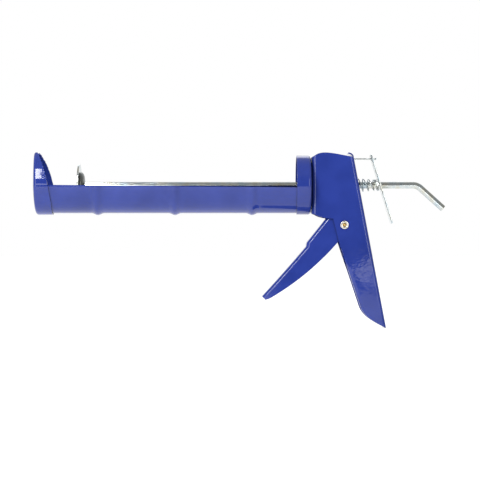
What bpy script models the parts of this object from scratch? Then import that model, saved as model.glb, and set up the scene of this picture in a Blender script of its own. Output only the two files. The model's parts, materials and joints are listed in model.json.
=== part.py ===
"""A caulking gun with a half-round cradle, built as the separate pieces of the real tool.

X runs back along the barrel, so -X is the nozzle end and +X the hooked end of the rod.
Z is up and the handle hangs down.  The origin is the middle of the plunger's front face.
All sizes are in metres.
"""

import math

import bmesh
import bpy
from mathutils import Matrix, Vector

MM = 0.001

# Fits between pieces
FIT_GAP = 0.3 * MM            # left between pieces that touch
SIDE_PLAY = 0.4 * MM          # left at each side of a piece that moves inside the handle

# Cartridge that the gun is made for
CARTRIDGE_RADIUS = 24.9 * MM
BARREL_LENGTH = 255.0 * MM    # front of the cap to the back of the collar

# Sheet thicknesses
CRADLE_WALL = 0.8 * MM
COLLAR_WALL = 0.9 * MM
CAP_WALL = 1.1 * MM
HANDLE_WALL = 1.2 * MM
TRIGGER_WALL = 1.2 * MM

# Front cap
CAP_FRONT = -40.1 * MM        # middle of the domed front, measured from the plunger face
CAP_DOME = 2.6 * MM           # how far the dome stands in front of its rim
CAP_CORNER = 2.6 * MM         # rounding between dome and side
CAP_DEPTH = 18.1 * MM         # length of the side along the bottom
NOZZLE_SLOT = 20.0 * MM       # width of the slot for the nozzle
HORN_RISE = 5.0 * MM          # how far the two horns are drawn up past the round
HORN_LEAN = 1.6 * MM          # how far the horns lean forward

# Cradle
EDGE_DROP_FRONT = 0.4 * MM    # upper edge below the barrel's middle, at the front
EDGE_DROP_REAR = 2.9 * MM     # and at the collar
RIB_FIRST = 59.4 * MM         # middle of the first rib, from the front of the cap
RIB_PITCH = 70.9 * MM
RIB_COUNT = 3
RIB_HEIGHT = 1.8 * MM
RIB_HALF_WIDTH = 6.0 * MM

# Rear collar
COLLAR_LENGTH = 13.0 * MM
COLLAR_CORNER = 2.4 * MM

# Flanged bush that holds barrel and handle together
BUSH_RADIUS = 6.5 * MM
BUSH_FLANGE_RADIUS = 11.0 * MM
BUSH_SWAGE_RADIUS = 8.6 * MM
BUSH_FLANGE = 1.5 * MM
HEAD_PLATE_GAUGE = 2.0 * MM
HEAD_PLATE_HALF_WIDTH = 9.3 * MM
HEAD_PLATE_HEIGHT = 38.0 * MM

# Handle
HANDLE_WIDTH = 28.0 * MM
HEAD_DEPTH = 38.9 * MM        # front wall to the spine's top
HEAD_TOP_FRONT = 24.9 * MM
HEAD_TOP_REAR = 25.4 * MM
HEAD_BOTTOM_FRONT = 25.9 * MM
HEAD_BOTTOM_REAR = 31.0 * MM
THROAT_DEPTH = 19.9 * MM      # front wall to the corner where the grip starts
FRONT_FOLD = 4.2 * MM
SPINE_FOLD = 3.0 * MM
LIP_FLANGE = 1.6 * MM         # flat part of the edge that is turned in along the grip
SPINE_LEAN = math.radians(10.7)
GRIP_LEAN = math.radians(18.3)
THROAT_LEAN = math.radians(13.9)
GRIP_DROP = 130.8 * MM        # barrel's middle to the tip of the grip
KNEE_DROP = 52.8 * MM
LIP_START_DROP = 68.0 * MM
FOOT_START_DROP = 111.7 * MM
THUMB_LIP_REACH = 5.0 * MM
THUMB_LIP_RISE = 4.2 * MM

# Trigger
PIVOT_BEHIND_FRONT = 30.2 * MM
PIVOT_DROP = 36.7 * MM
PIVOT_RADIUS = 2.5 * MM
RIVET_HEAD_RADIUS = 3.75 * MM
RIVET_HEAD_THICKNESS = 1.1 * MM
RIVET_BORE_RADIUS = 1.9 * MM
RIVET_BORE_DEPTH = 3.0 * MM
TRIGGER_FOLD = 3.4 * MM
TRIGGER_BOSS_RADIUS = 9.5 * MM
NOSE_ARM = 15.0 * MM          # pivot to the middle of the rounded nose
NOSE_RADIUS = 3.0 * MM
TRIGGER_SWING = math.radians(30.0)

# Plunger
ROD_ACROSS_FLATS = 6.0 * MM
ROD_TURN = math.radians(10.0)
ROD_BEND_BEHIND_SPINE = 54.8 * MM
ROD_BEND_RADIUS = 11.0 * MM
ROD_BEND = math.radians(42.0)
ROD_TAIL = 28.1 * MM
SPIGOT_RADIUS = 2.4 * MM
PEEN_RADIUS = 4.2 * MM
PEEN_THICKNESS = 1.0 * MM
DISC_RADIUS = 19.6 * MM
DISC_GAUGE = 1.5 * MM
CUP_RADIUS = 12.0 * MM
CUP_DEPTH = 3.9 * MM
CUP_WALL = 1.0 * MM

# Drive plates and their spring
DRIVE_PLATE_GAUGE = 1.8 * MM
DRIVE_PLATE_TOP = 14.0 * MM
DRIVE_PLATE_BELOW_NOSE = 2.6 * MM
WASHER_RADIUS = 9.0 * MM
WASHER_GAUGE = 1.0 * MM
DRIVE_SPRING_RADIUS = 6.2 * MM
DRIVE_SPRING_WIRE = 1.3 * MM
DRIVE_SPRING_TURNS = 6

# Release plate, its strip and its spring
RELEASE_GAUGE = 1.5 * MM
RELEASE_WIDTH = 16.0 * MM
RELEASE_LENGTH = 66.2 * MM
RELEASE_ABOVE_HINGE = 4.1 * MM
RELEASE_LEAN = math.radians(17.2)
HINGE_BEHIND_SPINE = 17.2 * MM
HINGE_HEIGHT = 24.0 * MM
STRIP_GAUGE = 1.2 * MM
STRIP_WIDTH = 6.0 * MM
STRIP_HEAD_WIDTH = 8.6 * MM
STRIP_HEAD_LENGTH = 1.6 * MM
STRIP_PAST_HINGE = 4.2 * MM
STRIP_INSIDE = 3.4 * MM
STRIP_LEG = 5.0 * MM
RELEASE_SPRING_WIRE = 1.0 * MM
RELEASE_SPRING_LARGE = 6.0 * MM
RELEASE_SPRING_SMALL = 4.9 * MM

# Derived sizes
CRADLE_INSIDE = CARTRIDGE_RADIUS + FIT_GAP
CRADLE_OUTSIDE = CRADLE_INSIDE + CRADLE_WALL
SLEEVE_INSIDE = CRADLE_OUTSIDE + FIT_GAP
CAP_OUTSIDE = SLEEVE_INSIDE + CAP_WALL
COLLAR_OUTSIDE = SLEEVE_INSIDE + COLLAR_WALL
COLLAR_REAR = CAP_FRONT + BARREL_LENGTH
HEAD_FRONT = COLLAR_REAR + FIT_GAP
HALF_HANDLE = HANDLE_WIDTH / 2
HALF_TRIGGER = HALF_HANDLE - HANDLE_WALL - SIDE_PLAY
PIVOT = Vector((HEAD_FRONT + PIVOT_BEHIND_FRONT, 0.0, -PIVOT_DROP))
NOSE_TILT = TRIGGER_SWING / 2
NOSE_X = PIVOT.x + NOSE_ARM * math.sin(NOSE_TILT)
NOSE_Z = PIVOT.z + NOSE_ARM * math.cos(NOSE_TILT)
ROD_CORNER = ROD_ACROSS_FLATS / math.sqrt(3)
ROD_BORE = ROD_CORNER + 2 * FIT_GAP
HEX_BORE = ROD_CORNER + 1.5 * FIT_GAP
HEAD_PLATE_FRONT = HEAD_FRONT + HANDLE_WALL + FIT_GAP
HEAD_PLATE_REAR = HEAD_PLATE_FRONT + HEAD_PLATE_GAUGE
SWAGE_REAR = HEAD_PLATE_REAR + FIT_GAP + BUSH_FLANGE
PLATES_REAR = NOSE_X - NOSE_RADIUS - FIT_GAP
PLATES_FRONT = PLATES_REAR - 2 * DRIVE_PLATE_GAUGE - FIT_GAP
WASHER_FRONT = PLATES_FRONT - FIT_GAP - WASHER_GAUGE
SPINE_TOP = Vector((HEAD_FRONT + HEAD_DEPTH, HEAD_TOP_REAR))
HINGE = Vector((SPINE_TOP.x + HINGE_BEHIND_SPINE, 0.0, HINGE_HEIGHT))
ROD_BEND_START = SPINE_TOP.x + ROD_BEND_BEHIND_SPINE

ROUND_STEPS = 48
SMALL_STEPS = 24


# Scene and materials

def clear_scene():
    for item in list(bpy.data.objects):
        bpy.data.objects.remove(item, do_unlink=True)


def new_collection(name):
    group = bpy.data.collections.new(name)
    bpy.context.scene.collection.children.link(group)
    return group


def new_material(name, colour, roughness, metallic):
    material = bpy.data.materials.new(name)
    material.use_nodes = True
    shader = material.node_tree.nodes["Principled BSDF"]
    shader.inputs["Base Color"].default_value = (*colour, 1.0)
    shader.inputs["Roughness"].default_value = roughness
    shader.inputs["Metallic"].default_value = metallic
    return material


def blue_enamel(name):
    return new_material(name, (0.03, 0.055, 0.32), 0.25, 0.0)


def zinc_steel(name):
    return new_material(name, (0.72, 0.73, 0.72), 0.3, 1.0)


clear_scene()
GUN = new_collection("caulking_gun")
CUTTERS = new_collection("cutters")


# Helpers for modelling

def place(item, material):
    """Puts a finished piece in the gun's collection with its own material."""
    GUN.objects.link(item)
    item.data.materials.append(material(item.name + "_finish"))
    return item


def mesh_object(name, shape):
    """Turns a bmesh into an object, smooth but for its hard edges."""
    mesh = bpy.data.meshes.new(name)
    bmesh.ops.recalc_face_normals(shape, faces=shape.faces)
    shape.to_mesh(mesh)
    shape.free()
    mesh.shade_smooth()
    mesh.set_sharp_from_angle(angle=math.radians(35))
    return bpy.data.objects.new(name, mesh)


def turned(name, profile, steps=ROUND_STEPS, sweep=2 * math.pi):
    """Turns a profile of (radius, distance along the barrel) about the barrel's middle.

    The profile runs along the outside from the far end to the near end and back inside.
    """
    mesh = bpy.data.meshes.new(name)
    closed = sweep >= 2 * math.pi and min(profile[0][0], profile[-1][0]) > 0
    points = [(0.0, -radius, along) for radius, along in profile]
    edges = [(i, i + 1) for i in range(len(points) - 1)]
    if closed:
        edges.append((len(points) - 1, 0))
    mesh.from_pydata(points, edges, [])
    item = bpy.data.objects.new(name, mesh)
    item.rotation_euler = (0.0, math.pi / 2, 0.0)
    screw = item.modifiers.new("turn", "SCREW")
    screw.axis = "Z"
    screw.angle = sweep
    screw.steps = steps
    screw.render_steps = steps
    screw.use_merge_vertices = True
    screw.merge_threshold = 0.00001
    return item


def settled_mesh(item):
    """Gives the object's shape after its modifiers, in the gun's own directions."""
    GUN.objects.link(item)
    bpy.context.view_layer.update()
    graph = bpy.context.evaluated_depsgraph_get()
    mesh = bpy.data.meshes.new_from_object(item.evaluated_get(graph))
    mesh.transform(item.matrix_world)
    bpy.data.objects.remove(item, do_unlink=True)
    return mesh


def prism(outline, half_width):
    """Extrudes an outline of (x, z) points to both sides of the middle plane."""
    shape = bmesh.new()
    corners = [shape.verts.new((x, -half_width, z)) for x, z in outline]
    side = shape.faces.new(corners)
    grown = bmesh.ops.extrude_face_region(shape, geom=[side])
    moved = [g for g in grown["geom"] if isinstance(g, bmesh.types.BMVert)]
    bmesh.ops.translate(shape, vec=(0.0, 2 * half_width, 0.0), verts=moved)
    bmesh.ops.recalc_face_normals(shape, faces=shape.faces)
    return shape


def rounded_plate(size, corner):
    """A flat plate, thin along X, with rounded corners."""
    shape = bmesh.new()
    bmesh.ops.create_cube(shape, size=1.0, matrix=Matrix.Diagonal((*size, 1.0)))
    across = [e for e in shape.edges if abs(e.verts[0].co.x - e.verts[1].co.x) > size[0] / 2]
    bmesh.ops.bevel(shape, geom=across, offset=corner, segments=5, profile=0.5, affect="EDGES")
    return shape


def cutter(name, shape):
    item = mesh_object(name, shape)
    item.hide_render = True
    item.display_type = "WIRE"
    CUTTERS.objects.link(item)
    return item


def drill(name, radius, length, centre, axis, steps=SMALL_STEPS, turn=0.0):
    """A round or many-sided cutter whose middle line runs along the given axis."""
    shape = bmesh.new()
    aim = Vector((0, 0, 1)).rotation_difference(Vector(axis)).to_matrix().to_4x4()
    spin = Matrix.Rotation(turn, 4, "Z")
    bmesh.ops.create_cone(shape, cap_ends=True, segments=steps, radius1=radius, radius2=radius,
                          depth=length, matrix=Matrix.Translation(centre) @ aim @ spin)
    return cutter(name, shape)


def block(name, size, centre, turn=0.0):
    """A box-shaped cutter, turned about the sideways axis."""
    shape = bmesh.new()
    place_at = Matrix.Translation(centre) @ Matrix.Rotation(turn, 4, "Y")
    bmesh.ops.create_cube(shape, size=1.0, matrix=place_at @ Matrix.Diagonal((*size, 1.0)))
    return cutter(name, shape)


def boolean(item, other, operation="DIFFERENCE"):
    step = item.modifiers.new(other.name, "BOOLEAN")
    step.operation = operation
    step.solver = "EXACT"
    step.object = other
    return item


def arc(centre, radius, start, end, steps):
    """Points on a circle of (x, z), from one angle to another, both included."""
    angles = [start + (end - start) * i / steps for i in range(steps + 1)]
    return [(centre[0] + radius * math.cos(a), centre[1] + radius * math.sin(a)) for a in angles]


def bezier(points, steps):
    """Points on a Bezier curve of any degree, without its two ends."""
    curve = []
    for i in range(1, steps):
        t = i / steps
        level = [Vector(p) for p in points]
        while len(level) > 1:
            level = [a.lerp(b, t) for a, b in zip(level, level[1:])]
        curve.append(tuple(level[0]))
    return curve


def folded_sheet(stretches, half_width, flange=0.0):
    """Folds one sheet: two flat sides joined by webs along parts of their outline.

    Each stretch is (points, kind, fold radius).  Its last point is the next one's first.
    A web joins both sides, a lip is only turned in by the flange, and an open one has neither.
    """
    outline = [point for points, _, _ in stretches for point in points]
    rule = [(kind, radius) for points, kind, radius in stretches for _ in points]
    shape = prism(outline, half_width)

    def rule_of(face):
        middle = face.calc_center_bounds()
        if abs(middle.y) > half_width - 0.1 * MM and abs(face.normal.y) > 0.9:
            return "side", 0.0
        return rule[min(range(len(outline)), key=lambda i: strip_distance(outline, i, middle))]

    for radius in {radius for _, kind, radius in stretches if kind == "lip"}:
        reach = half_width - radius - flange
        for side in (-reach, reach):
            lips = [face for face in shape.faces if rule_of(face)[0] == "lip"]
            geom = lips + list({edge for face in lips for edge in face.edges})
            bmesh.ops.bisect_plane(shape, geom=geom, plane_co=(0, side, 0), plane_no=(0, 1, 0))
    folds = {}
    unwanted = []
    for face in shape.faces:
        kind, radius = rule_of(face)
        middle_strip = abs(face.calc_center_bounds().y) < half_width - radius - flange
        if kind == "open" or (kind == "lip" and middle_strip):
            unwanted.append(face)
        elif kind != "side":
            rims = [edge for edge in face.edges
                    if min(abs(vert.co.y) for vert in edge.verts) > half_width - 0.01 * MM
                    and edge.verts[0].co.y * edge.verts[1].co.y > 0]
            folds.setdefault(radius, []).extend(rims)
    bmesh.ops.delete(shape, geom=unwanted, context="FACES")
    for radius, edges in folds.items():
        bmesh.ops.bevel(shape, geom=edges, offset=radius, segments=5, profile=0.5, affect="EDGES")
    return shape


def strip_distance(outline, index, middle):
    """How far the middle of an outline's edge is from a point, seen from the side."""
    x0, z0 = outline[index]
    x1, z1 = outline[(index + 1) % len(outline)]
    return math.hypot((x0 + x1) / 2 - middle.x, (z0 + z1) / 2 - middle.z)


def with_wall(item, gauge):
    """Gives an open sheet its thickness, towards the inside."""
    wall = item.modifiers.new("wall", "SOLIDIFY")
    wall.thickness = gauge
    wall.offset = -1.0
    wall.solidify_mode = "NON_MANIFOLD"
    wall.nonmanifold_thickness_mode = "CONSTRAINTS"
    return item


def coil(name, wire, turns, radius_at, place_at, steps=16):
    """A wire wound about the barrel's middle; radius and place follow the way along it."""
    data = bpy.data.curves.new(name, "CURVE")
    data.dimensions = "3D"
    data.bevel_depth = wire / 2
    data.bevel_resolution = 2
    data.use_fill_caps = True
    spline = data.splines.new("POLY")
    total = turns * steps
    spline.points.add(total)
    for i in range(total + 1):
        way = i / total
        angle = 2 * math.pi * i / steps
        y = radius_at(way) * math.sin(angle)
        z = radius_at(way) * math.cos(angle)
        spline.points[i].co = (place_at(way, z), y, z, 1.0)
    return bpy.data.objects.new(name, data)


def open_coil(way, turns, close):
    """Way along a coil whose first and last turns lie close together."""
    end = close / turns
    rise = 0.25 * end
    if way < end:
        return rise * way / end
    if way > 1 - end:
        return 1 - rise * (1 - way) / end
    return rise + (1 - 2 * rise) * (way - end) / (1 - 2 * end)


# Barrel

def front_cap():
    """A drawn cup with a domed front, open at the top for the nozzle between two horns."""
    steps = 6
    rim_radius = CAP_OUTSIDE - CAP_CORNER
    outer = [(0.0, CAP_FRONT)]
    for i in range(1, steps + 1):
        share = i / steps
        outer.append((rim_radius * share, CAP_FRONT + CAP_DOME * share ** 2))
    corner_x = CAP_FRONT + CAP_DOME + CAP_CORNER
    outer += [(r, x) for x, r in arc((corner_x, rim_radius), CAP_CORNER, math.radians(150),
                                     math.radians(90), 4)]
    outer.append((CAP_OUTSIDE, CAP_FRONT + CAP_DEPTH))
    item = turned("front_cap", outer[::-1])
    mesh = settled_mesh(item)
    shape = bmesh.new()
    shape.from_mesh(mesh)
    bmesh.ops.remove_doubles(shape, verts=shape.verts, dist=0.00001)
    for vert in shape.verts:
        share = max(0.0, vert.co.z / CAP_OUTSIDE)
        vert.co.z += HORN_RISE * share ** 2
        vert.co.x -= HORN_LEAN * share ** 2
    cap = mesh_object("front_cap", shape)
    with_wall(cap, CAP_WALL)
    rear = CAP_FRONT + CAP_DEPTH
    beyond = 3 * CAP_OUTSIDE
    trim = [(rear, -beyond), (rear, -0.6 * CAP_OUTSIDE)]
    trim += bezier([(rear, -0.6 * CAP_OUTSIDE), (rear - 3.0 * MM, 0.2 * CAP_OUTSIDE),
                    (rear - 6.5 * MM, 0.75 * CAP_OUTSIDE),
                    (rear - 15.0 * MM, CAP_OUTSIDE + HORN_RISE)], 8)
    trim += [(rear - 15.4 * MM, CAP_OUTSIDE + HORN_RISE), (rear + beyond, beyond),
             (rear + beyond, -beyond)]
    boolean(cap, cutter("cap_trim", prism(trim, beyond)))
    half_slot = NOZZLE_SLOT / 2
    shape = bmesh.new()
    slot = arc((0.0, 0.0), half_slot, math.pi, 2 * math.pi, 12) + [(half_slot, beyond),
                                                                   (-half_slot, beyond)]
    face = shape.faces.new([shape.verts.new((CAP_FRONT - beyond, y, z)) for y, z in slot])
    grown = bmesh.ops.extrude_face_region(shape, geom=[face])
    moved = [g for g in grown["geom"] if isinstance(g, bmesh.types.BMVert)]
    bmesh.ops.translate(shape, vec=(2 * beyond, 0.0, 0.0), verts=moved)
    boolean(cap, cutter("nozzle_slot", shape))
    place(cap, blue_enamel)


def cradle():
    """A half-round trough with three pressed ribs, held in the cap and the collar."""
    front = CAP_FRONT + CAP_DOME + CAP_CORNER + FIT_GAP
    rear = COLLAR_REAR - COLLAR_CORNER - FIT_GAP
    profile = [(CRADLE_OUTSIDE, front)]
    for index in range(RIB_COUNT):
        middle = CAP_FRONT + RIB_FIRST + index * RIB_PITCH
        steps = 8
        for i in range(steps + 1):
            way = 2 * i / steps - 1
            swell = RIB_HEIGHT * (1 + math.cos(math.pi * way)) / 2
            profile.append((CRADLE_OUTSIDE + swell, middle + way * RIB_HALF_WIDTH))
    profile.append((CRADLE_OUTSIDE, rear))
    trough = turned("cradle", profile[::-1], steps=ROUND_STEPS // 2, sweep=math.pi)
    mesh = settled_mesh(trough)
    trough = bpy.data.objects.new("cradle", mesh)
    mesh.shade_smooth()
    mesh.set_sharp_from_angle(angle=math.radians(35))
    with_wall(trough, CRADLE_WALL)
    length = rear - front
    slope = math.atan2(EDGE_DROP_REAR - EDGE_DROP_FRONT, length)
    height = 20 * MM
    centre = (front + length / 2, 0.0, height / 2 - (EDGE_DROP_FRONT + EDGE_DROP_REAR) / 2)
    boolean(trough, block("cradle_edge", (2 * length, 3 * CRADLE_OUTSIDE, height), centre, slope))
    place(trough, blue_enamel)


def rear_collar():
    """A drawn cup that closes the barrel's rear and stands against the handle."""
    front = COLLAR_REAR - COLLAR_LENGTH
    inner_corner = COLLAR_CORNER - COLLAR_WALL
    middle = (COLLAR_REAR - COLLAR_CORNER, COLLAR_OUTSIDE - COLLAR_CORNER)
    bore = BUSH_RADIUS + FIT_GAP
    profile = [(bore, COLLAR_REAR)]
    profile += [(r, x) for x, r in arc(middle, COLLAR_CORNER, 0.0, math.pi / 2, 5)]
    profile += [(COLLAR_OUTSIDE, front), (COLLAR_OUTSIDE - COLLAR_WALL, front)]
    profile += [(r, x) for x, r in arc(middle, inner_corner, math.pi / 2, 0.0, 5)]
    profile += [(bore, COLLAR_REAR - COLLAR_WALL)]
    place(turned("rear_collar", profile), blue_enamel)


def barrel_bush():
    """A flanged bush through collar, handle and plate, swaged over at the back."""
    flange_rear = COLLAR_REAR - COLLAR_WALL - FIT_GAP
    flange_front = flange_rear - BUSH_FLANGE
    swage_front = SWAGE_REAR - BUSH_FLANGE
    profile = [(ROD_BORE, SWAGE_REAR), (BUSH_SWAGE_RADIUS, SWAGE_REAR),
               (BUSH_SWAGE_RADIUS, swage_front), (BUSH_RADIUS, swage_front),
               (BUSH_RADIUS, flange_rear), (BUSH_FLANGE_RADIUS, flange_rear),
               (BUSH_FLANGE_RADIUS, flange_front), (ROD_BORE, flange_front)]
    place(turned("barrel_bush", profile, SMALL_STEPS), zinc_steel)


def head_plate():
    """A thick plate that stiffens the handle's front wall from inside."""
    size = (HEAD_PLATE_GAUGE, 2 * HEAD_PLATE_HALF_WIDTH, HEAD_PLATE_HEIGHT)
    item = mesh_object("head_plate", rounded_plate(size, 3 * MM))
    item.location.x = (HEAD_PLATE_FRONT + HEAD_PLATE_REAR) / 2
    place(item, zinc_steel)
    boolean(item, drill("head_plate_bore", BUSH_RADIUS + FIT_GAP, 3 * HEAD_PLATE_GAUGE,
                        item.location, (1, 0, 0)))


# Handle and trigger

def spine_at(z):
    """Where the back of the handle is at a height."""
    return SPINE_TOP.x + (SPINE_TOP.y - z) * math.tan(SPINE_LEAN)


def grip_front_at(z):
    """Where the front edge of the grip is at a height."""
    knee = HEAD_FRONT + THROAT_DEPTH + (KNEE_DROP - HEAD_BOTTOM_REAR) * math.tan(THROAT_LEAN)
    return knee + (-KNEE_DROP - z) * math.tan(GRIP_LEAN)


def handle():
    """Head and grip folded from one sheet around the spine."""
    throat = (HEAD_FRONT + THROAT_DEPTH, -HEAD_BOTTOM_REAR)
    knee = (grip_front_at(-KNEE_DROP), -KNEE_DROP)
    lip_start = (grip_front_at(-LIP_START_DROP), -LIP_START_DROP)
    foot = (grip_front_at(-FOOT_START_DROP), -FOOT_START_DROP)
    tip = (spine_at(-GRIP_DROP), -GRIP_DROP)
    foot_bend = (foot[0] + 3.8 * MM, foot[1] - 11.2 * MM)
    foot_curve = bezier([tip, foot_bend, foot], 8)
    front_top = (HEAD_FRONT, HEAD_TOP_FRONT)
    front_bottom = (HEAD_FRONT, -HEAD_BOTTOM_FRONT)
    crown = [(HEAD_FRONT + 0.28 * HEAD_DEPTH, HEAD_TOP_FRONT + 6.7 * MM),
             (HEAD_FRONT + 0.56 * HEAD_DEPTH, HEAD_TOP_REAR + 3.0 * MM)]
    belly = (HEAD_FRONT + 4.3 * MM, 0.5 * MM - HEAD_BOTTOM_REAR)
    stretches = [
        ([front_top] + bezier([front_top, *crown, tuple(SPINE_TOP)], 10), "open", 0.0),
        ([tuple(SPINE_TOP)], "web", SPINE_FOLD),
        ([tip] + foot_curve[:1], "open", 0.0),
        (foot_curve[1:] + [foot], "lip", SPINE_FOLD),
        ([lip_start, knee], "open", 0.0),
        ([throat] + bezier([throat, belly, front_bottom], 6), "open", 0.0),
        ([front_bottom], "web", FRONT_FOLD),
    ]
    shape = folded_sheet(stretches, HALF_HANDLE, LIP_FLANGE)
    top_edge = [e for e in shape.edges if all(abs(v.co.z - SPINE_TOP.y) < 0.1 * MM
                                              and abs(v.co.x - SPINE_TOP.x) < 0.1 * MM
                                              for v in e.verts)]
    lip_path = [(0.6, 0.45), (0.7, 0.3), (0.4, 0.15), (0.3, 0.1)]
    total_reach = sum(reach for reach, _ in lip_path)
    total_rise = sum(rise for _, rise in lip_path)
    for reach, rise in lip_path:
        grown = bmesh.ops.extrude_edge_only(shape, edges=top_edge)
        moved = [g for g in grown["geom"] if isinstance(g, bmesh.types.BMVert)]
        step = (-THUMB_LIP_REACH * reach / total_reach, 0.0, THUMB_LIP_RISE * rise / total_rise)
        bmesh.ops.translate(shape, vec=step, verts=moved)
        top_edge = [g for g in grown["geom"] if isinstance(g, bmesh.types.BMEdge)]
    item = mesh_object("handle", shape)
    with_wall(item, HANDLE_WALL)
    place(item, blue_enamel)
    front_middle = (HEAD_FRONT + HANDLE_WALL / 2, 0, 0)
    boolean(item, drill("bush_bore", BUSH_RADIUS + FIT_GAP, 6 * HANDLE_WALL, front_middle, (1, 0, 0)))
    boolean(item, drill("rod_bore", ROD_BORE + 2 * FIT_GAP, 8 * HANDLE_WALL,
                        (spine_at(0) - HANDLE_WALL / 2, 0, 0), (1, 0, 0)))
    boolean(item, drill("rivet_bore", PIVOT_RADIUS + FIT_GAP, 2 * HANDLE_WIDTH, PIVOT, (0, 1, 0)))
    boolean(item, block("strip_slot", (6 * HANDLE_WALL, STRIP_WIDTH + 2 * FIT_GAP,
                                       STRIP_GAUGE + 2 * FIT_GAP),
                        (spine_at(HINGE_HEIGHT), 0, HINGE_HEIGHT)))


def pivot_rivet():
    """A semi-tubular rivet: the trigger turns on it and its ends are rolled over the handle."""
    half = HALF_HANDLE + FIT_GAP
    end = half + RIVET_HEAD_THICKNESS
    floor = end - RIVET_BORE_DEPTH
    rounding = 0.4 * MM
    profile = [(0.0, floor), (RIVET_BORE_RADIUS, floor), (RIVET_BORE_RADIUS, end - rounding),
               (RIVET_BORE_RADIUS + rounding, end), (RIVET_HEAD_RADIUS - rounding, end),
               (RIVET_HEAD_RADIUS, end - rounding), (RIVET_HEAD_RADIUS, half),
               (PIVOT_RADIUS, half), (PIVOT_RADIUS, -half), (RIVET_HEAD_RADIUS, -half),
               (RIVET_HEAD_RADIUS, rounding - end), (RIVET_HEAD_RADIUS - rounding, -end), (0.0, -end)]
    item = turned("pivot_rivet", profile, SMALL_STEPS)
    item.rotation_euler = (math.pi / 2, 0.0, 0.0)
    item.location = PIVOT
    place(item, zinc_steel)


def trigger():
    """A folded channel with two ears inside the head; each ear ends in the rounded nose."""
    wrist = (-33.7 * MM, -16.1 * MM)
    step_low = (-34.9 * MM, -19.8 * MM)
    tip_front = (-75.3 * MM, -65.4 * MM)
    web_top = (-13.7 * MM, 9.7 * MM)
    heel = (-6.2 * MM, -16.1 * MM)
    tip_rear = (-67.3 * MM, -66.8 * MM)
    tip_round = [(-75.9 * MM, -67.2 * MM), (-74.0 * MM, -68.4 * MM)]
    nose = (NOSE_ARM * math.sin(NOSE_TILT), NOSE_ARM * math.cos(NOSE_TILT))
    belly = ((heel[0] + tip_rear[0]) / 2 + 4.2 * MM, (heel[1] + tip_rear[1]) / 2 - 5.0 * MM)
    boss = TRIGGER_BOSS_RADIUS
    front_of_boss = arc((0, 0), boss, math.radians(115), math.radians(78), 4)
    around_nose = arc(nose, NOSE_RADIUS, math.radians(215), math.radians(-15), 10)
    back_of_boss = arc((0, 0), boss, math.radians(10), math.radians(-60), 6)
    stretches = [
        ([tip_front, step_low, wrist], "web", TRIGGER_FOLD),
        ([web_top] + front_of_boss + around_nose + back_of_boss, "open", 0.0),
        ([heel] + bezier([heel, belly, tip_rear], 6), "open", 0.0),
        ([tip_rear] + tip_round, "open", 0.0),
    ]
    shape = folded_sheet(stretches, HALF_TRIGGER)
    item = mesh_object("trigger", shape)
    with_wall(item, TRIGGER_WALL)
    item.location = PIVOT
    place(item, blue_enamel)
    boolean(item, drill("trigger_bore", PIVOT_RADIUS + FIT_GAP, 2 * HANDLE_WIDTH, PIVOT, (0, 1, 0)))


# Drive

def drive_plate(name, front):
    """A hard plate with a six-sided hole that grips the rod when the trigger pushes it."""
    bottom = NOSE_Z - DRIVE_PLATE_BELOW_NOSE
    size = (DRIVE_PLATE_GAUGE, 2 * HALF_TRIGGER, DRIVE_PLATE_TOP - bottom)
    item = mesh_object(name, rounded_plate(size, 2.5 * MM))
    item.location = (front + DRIVE_PLATE_GAUGE / 2, 0.0, (DRIVE_PLATE_TOP + bottom) / 2)
    place(item, zinc_steel)
    boolean(item, drill(name + "_bore", HEX_BORE, 3 * DRIVE_PLATE_GAUGE,
                        (item.location.x, 0, 0), (1, 0, 0), 6, ROD_TURN))


def spring_washer():
    profile = [(ROD_BORE, WASHER_FRONT + WASHER_GAUGE), (WASHER_RADIUS, WASHER_FRONT + WASHER_GAUGE),
               (WASHER_RADIUS, WASHER_FRONT), (ROD_BORE, WASHER_FRONT)]
    place(turned("spring_washer", profile, SMALL_STEPS), zinc_steel)


def drive_spring():
    """Pushes the drive plates and, through them, the trigger back after each stroke."""
    front = SWAGE_REAR + FIT_GAP + DRIVE_SPRING_WIRE / 2
    rear = WASHER_FRONT - FIT_GAP - DRIVE_SPRING_WIRE / 2

    def along(way, _):
        return front + (rear - front) * open_coil(way, DRIVE_SPRING_TURNS, 1)

    place(coil("drive_spring", DRIVE_SPRING_WIRE, DRIVE_SPRING_TURNS,
               lambda way: DRIVE_SPRING_RADIUS, along), zinc_steel)


# Release

def release_plate():
    """A thin plate that jams on the rod; a thumb pushes its lower end forward to free it."""
    middle = RELEASE_ABOVE_HINGE - RELEASE_LENGTH / 2
    shape = rounded_plate((RELEASE_GAUGE, RELEASE_WIDTH, RELEASE_LENGTH), 3.5 * MM)
    bmesh.ops.translate(shape, vec=(0, 0, middle), verts=shape.verts)
    item = mesh_object("release_plate", shape)
    item.location = HINGE
    item.rotation_euler = (0.0, -RELEASE_LEAN, 0.0)
    place(item, zinc_steel)
    reach = HINGE_HEIGHT / math.cos(RELEASE_LEAN)
    hole_x = HINGE.x + reach * math.sin(RELEASE_LEAN)
    along = (math.cos(RELEASE_LEAN), 0, math.sin(RELEASE_LEAN))
    boolean(item, drill("release_bore", ROD_CORNER + 1.5 * MM, 4 * RELEASE_GAUGE,
                        (hole_x, 0, 0.3 * MM), along))
    boolean(item, block("release_slot", (4 * RELEASE_GAUGE, STRIP_WIDTH + 3 * FIT_GAP,
                                         STRIP_GAUGE + 5 * FIT_GAP), HINGE, -RELEASE_LEAN))


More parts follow.
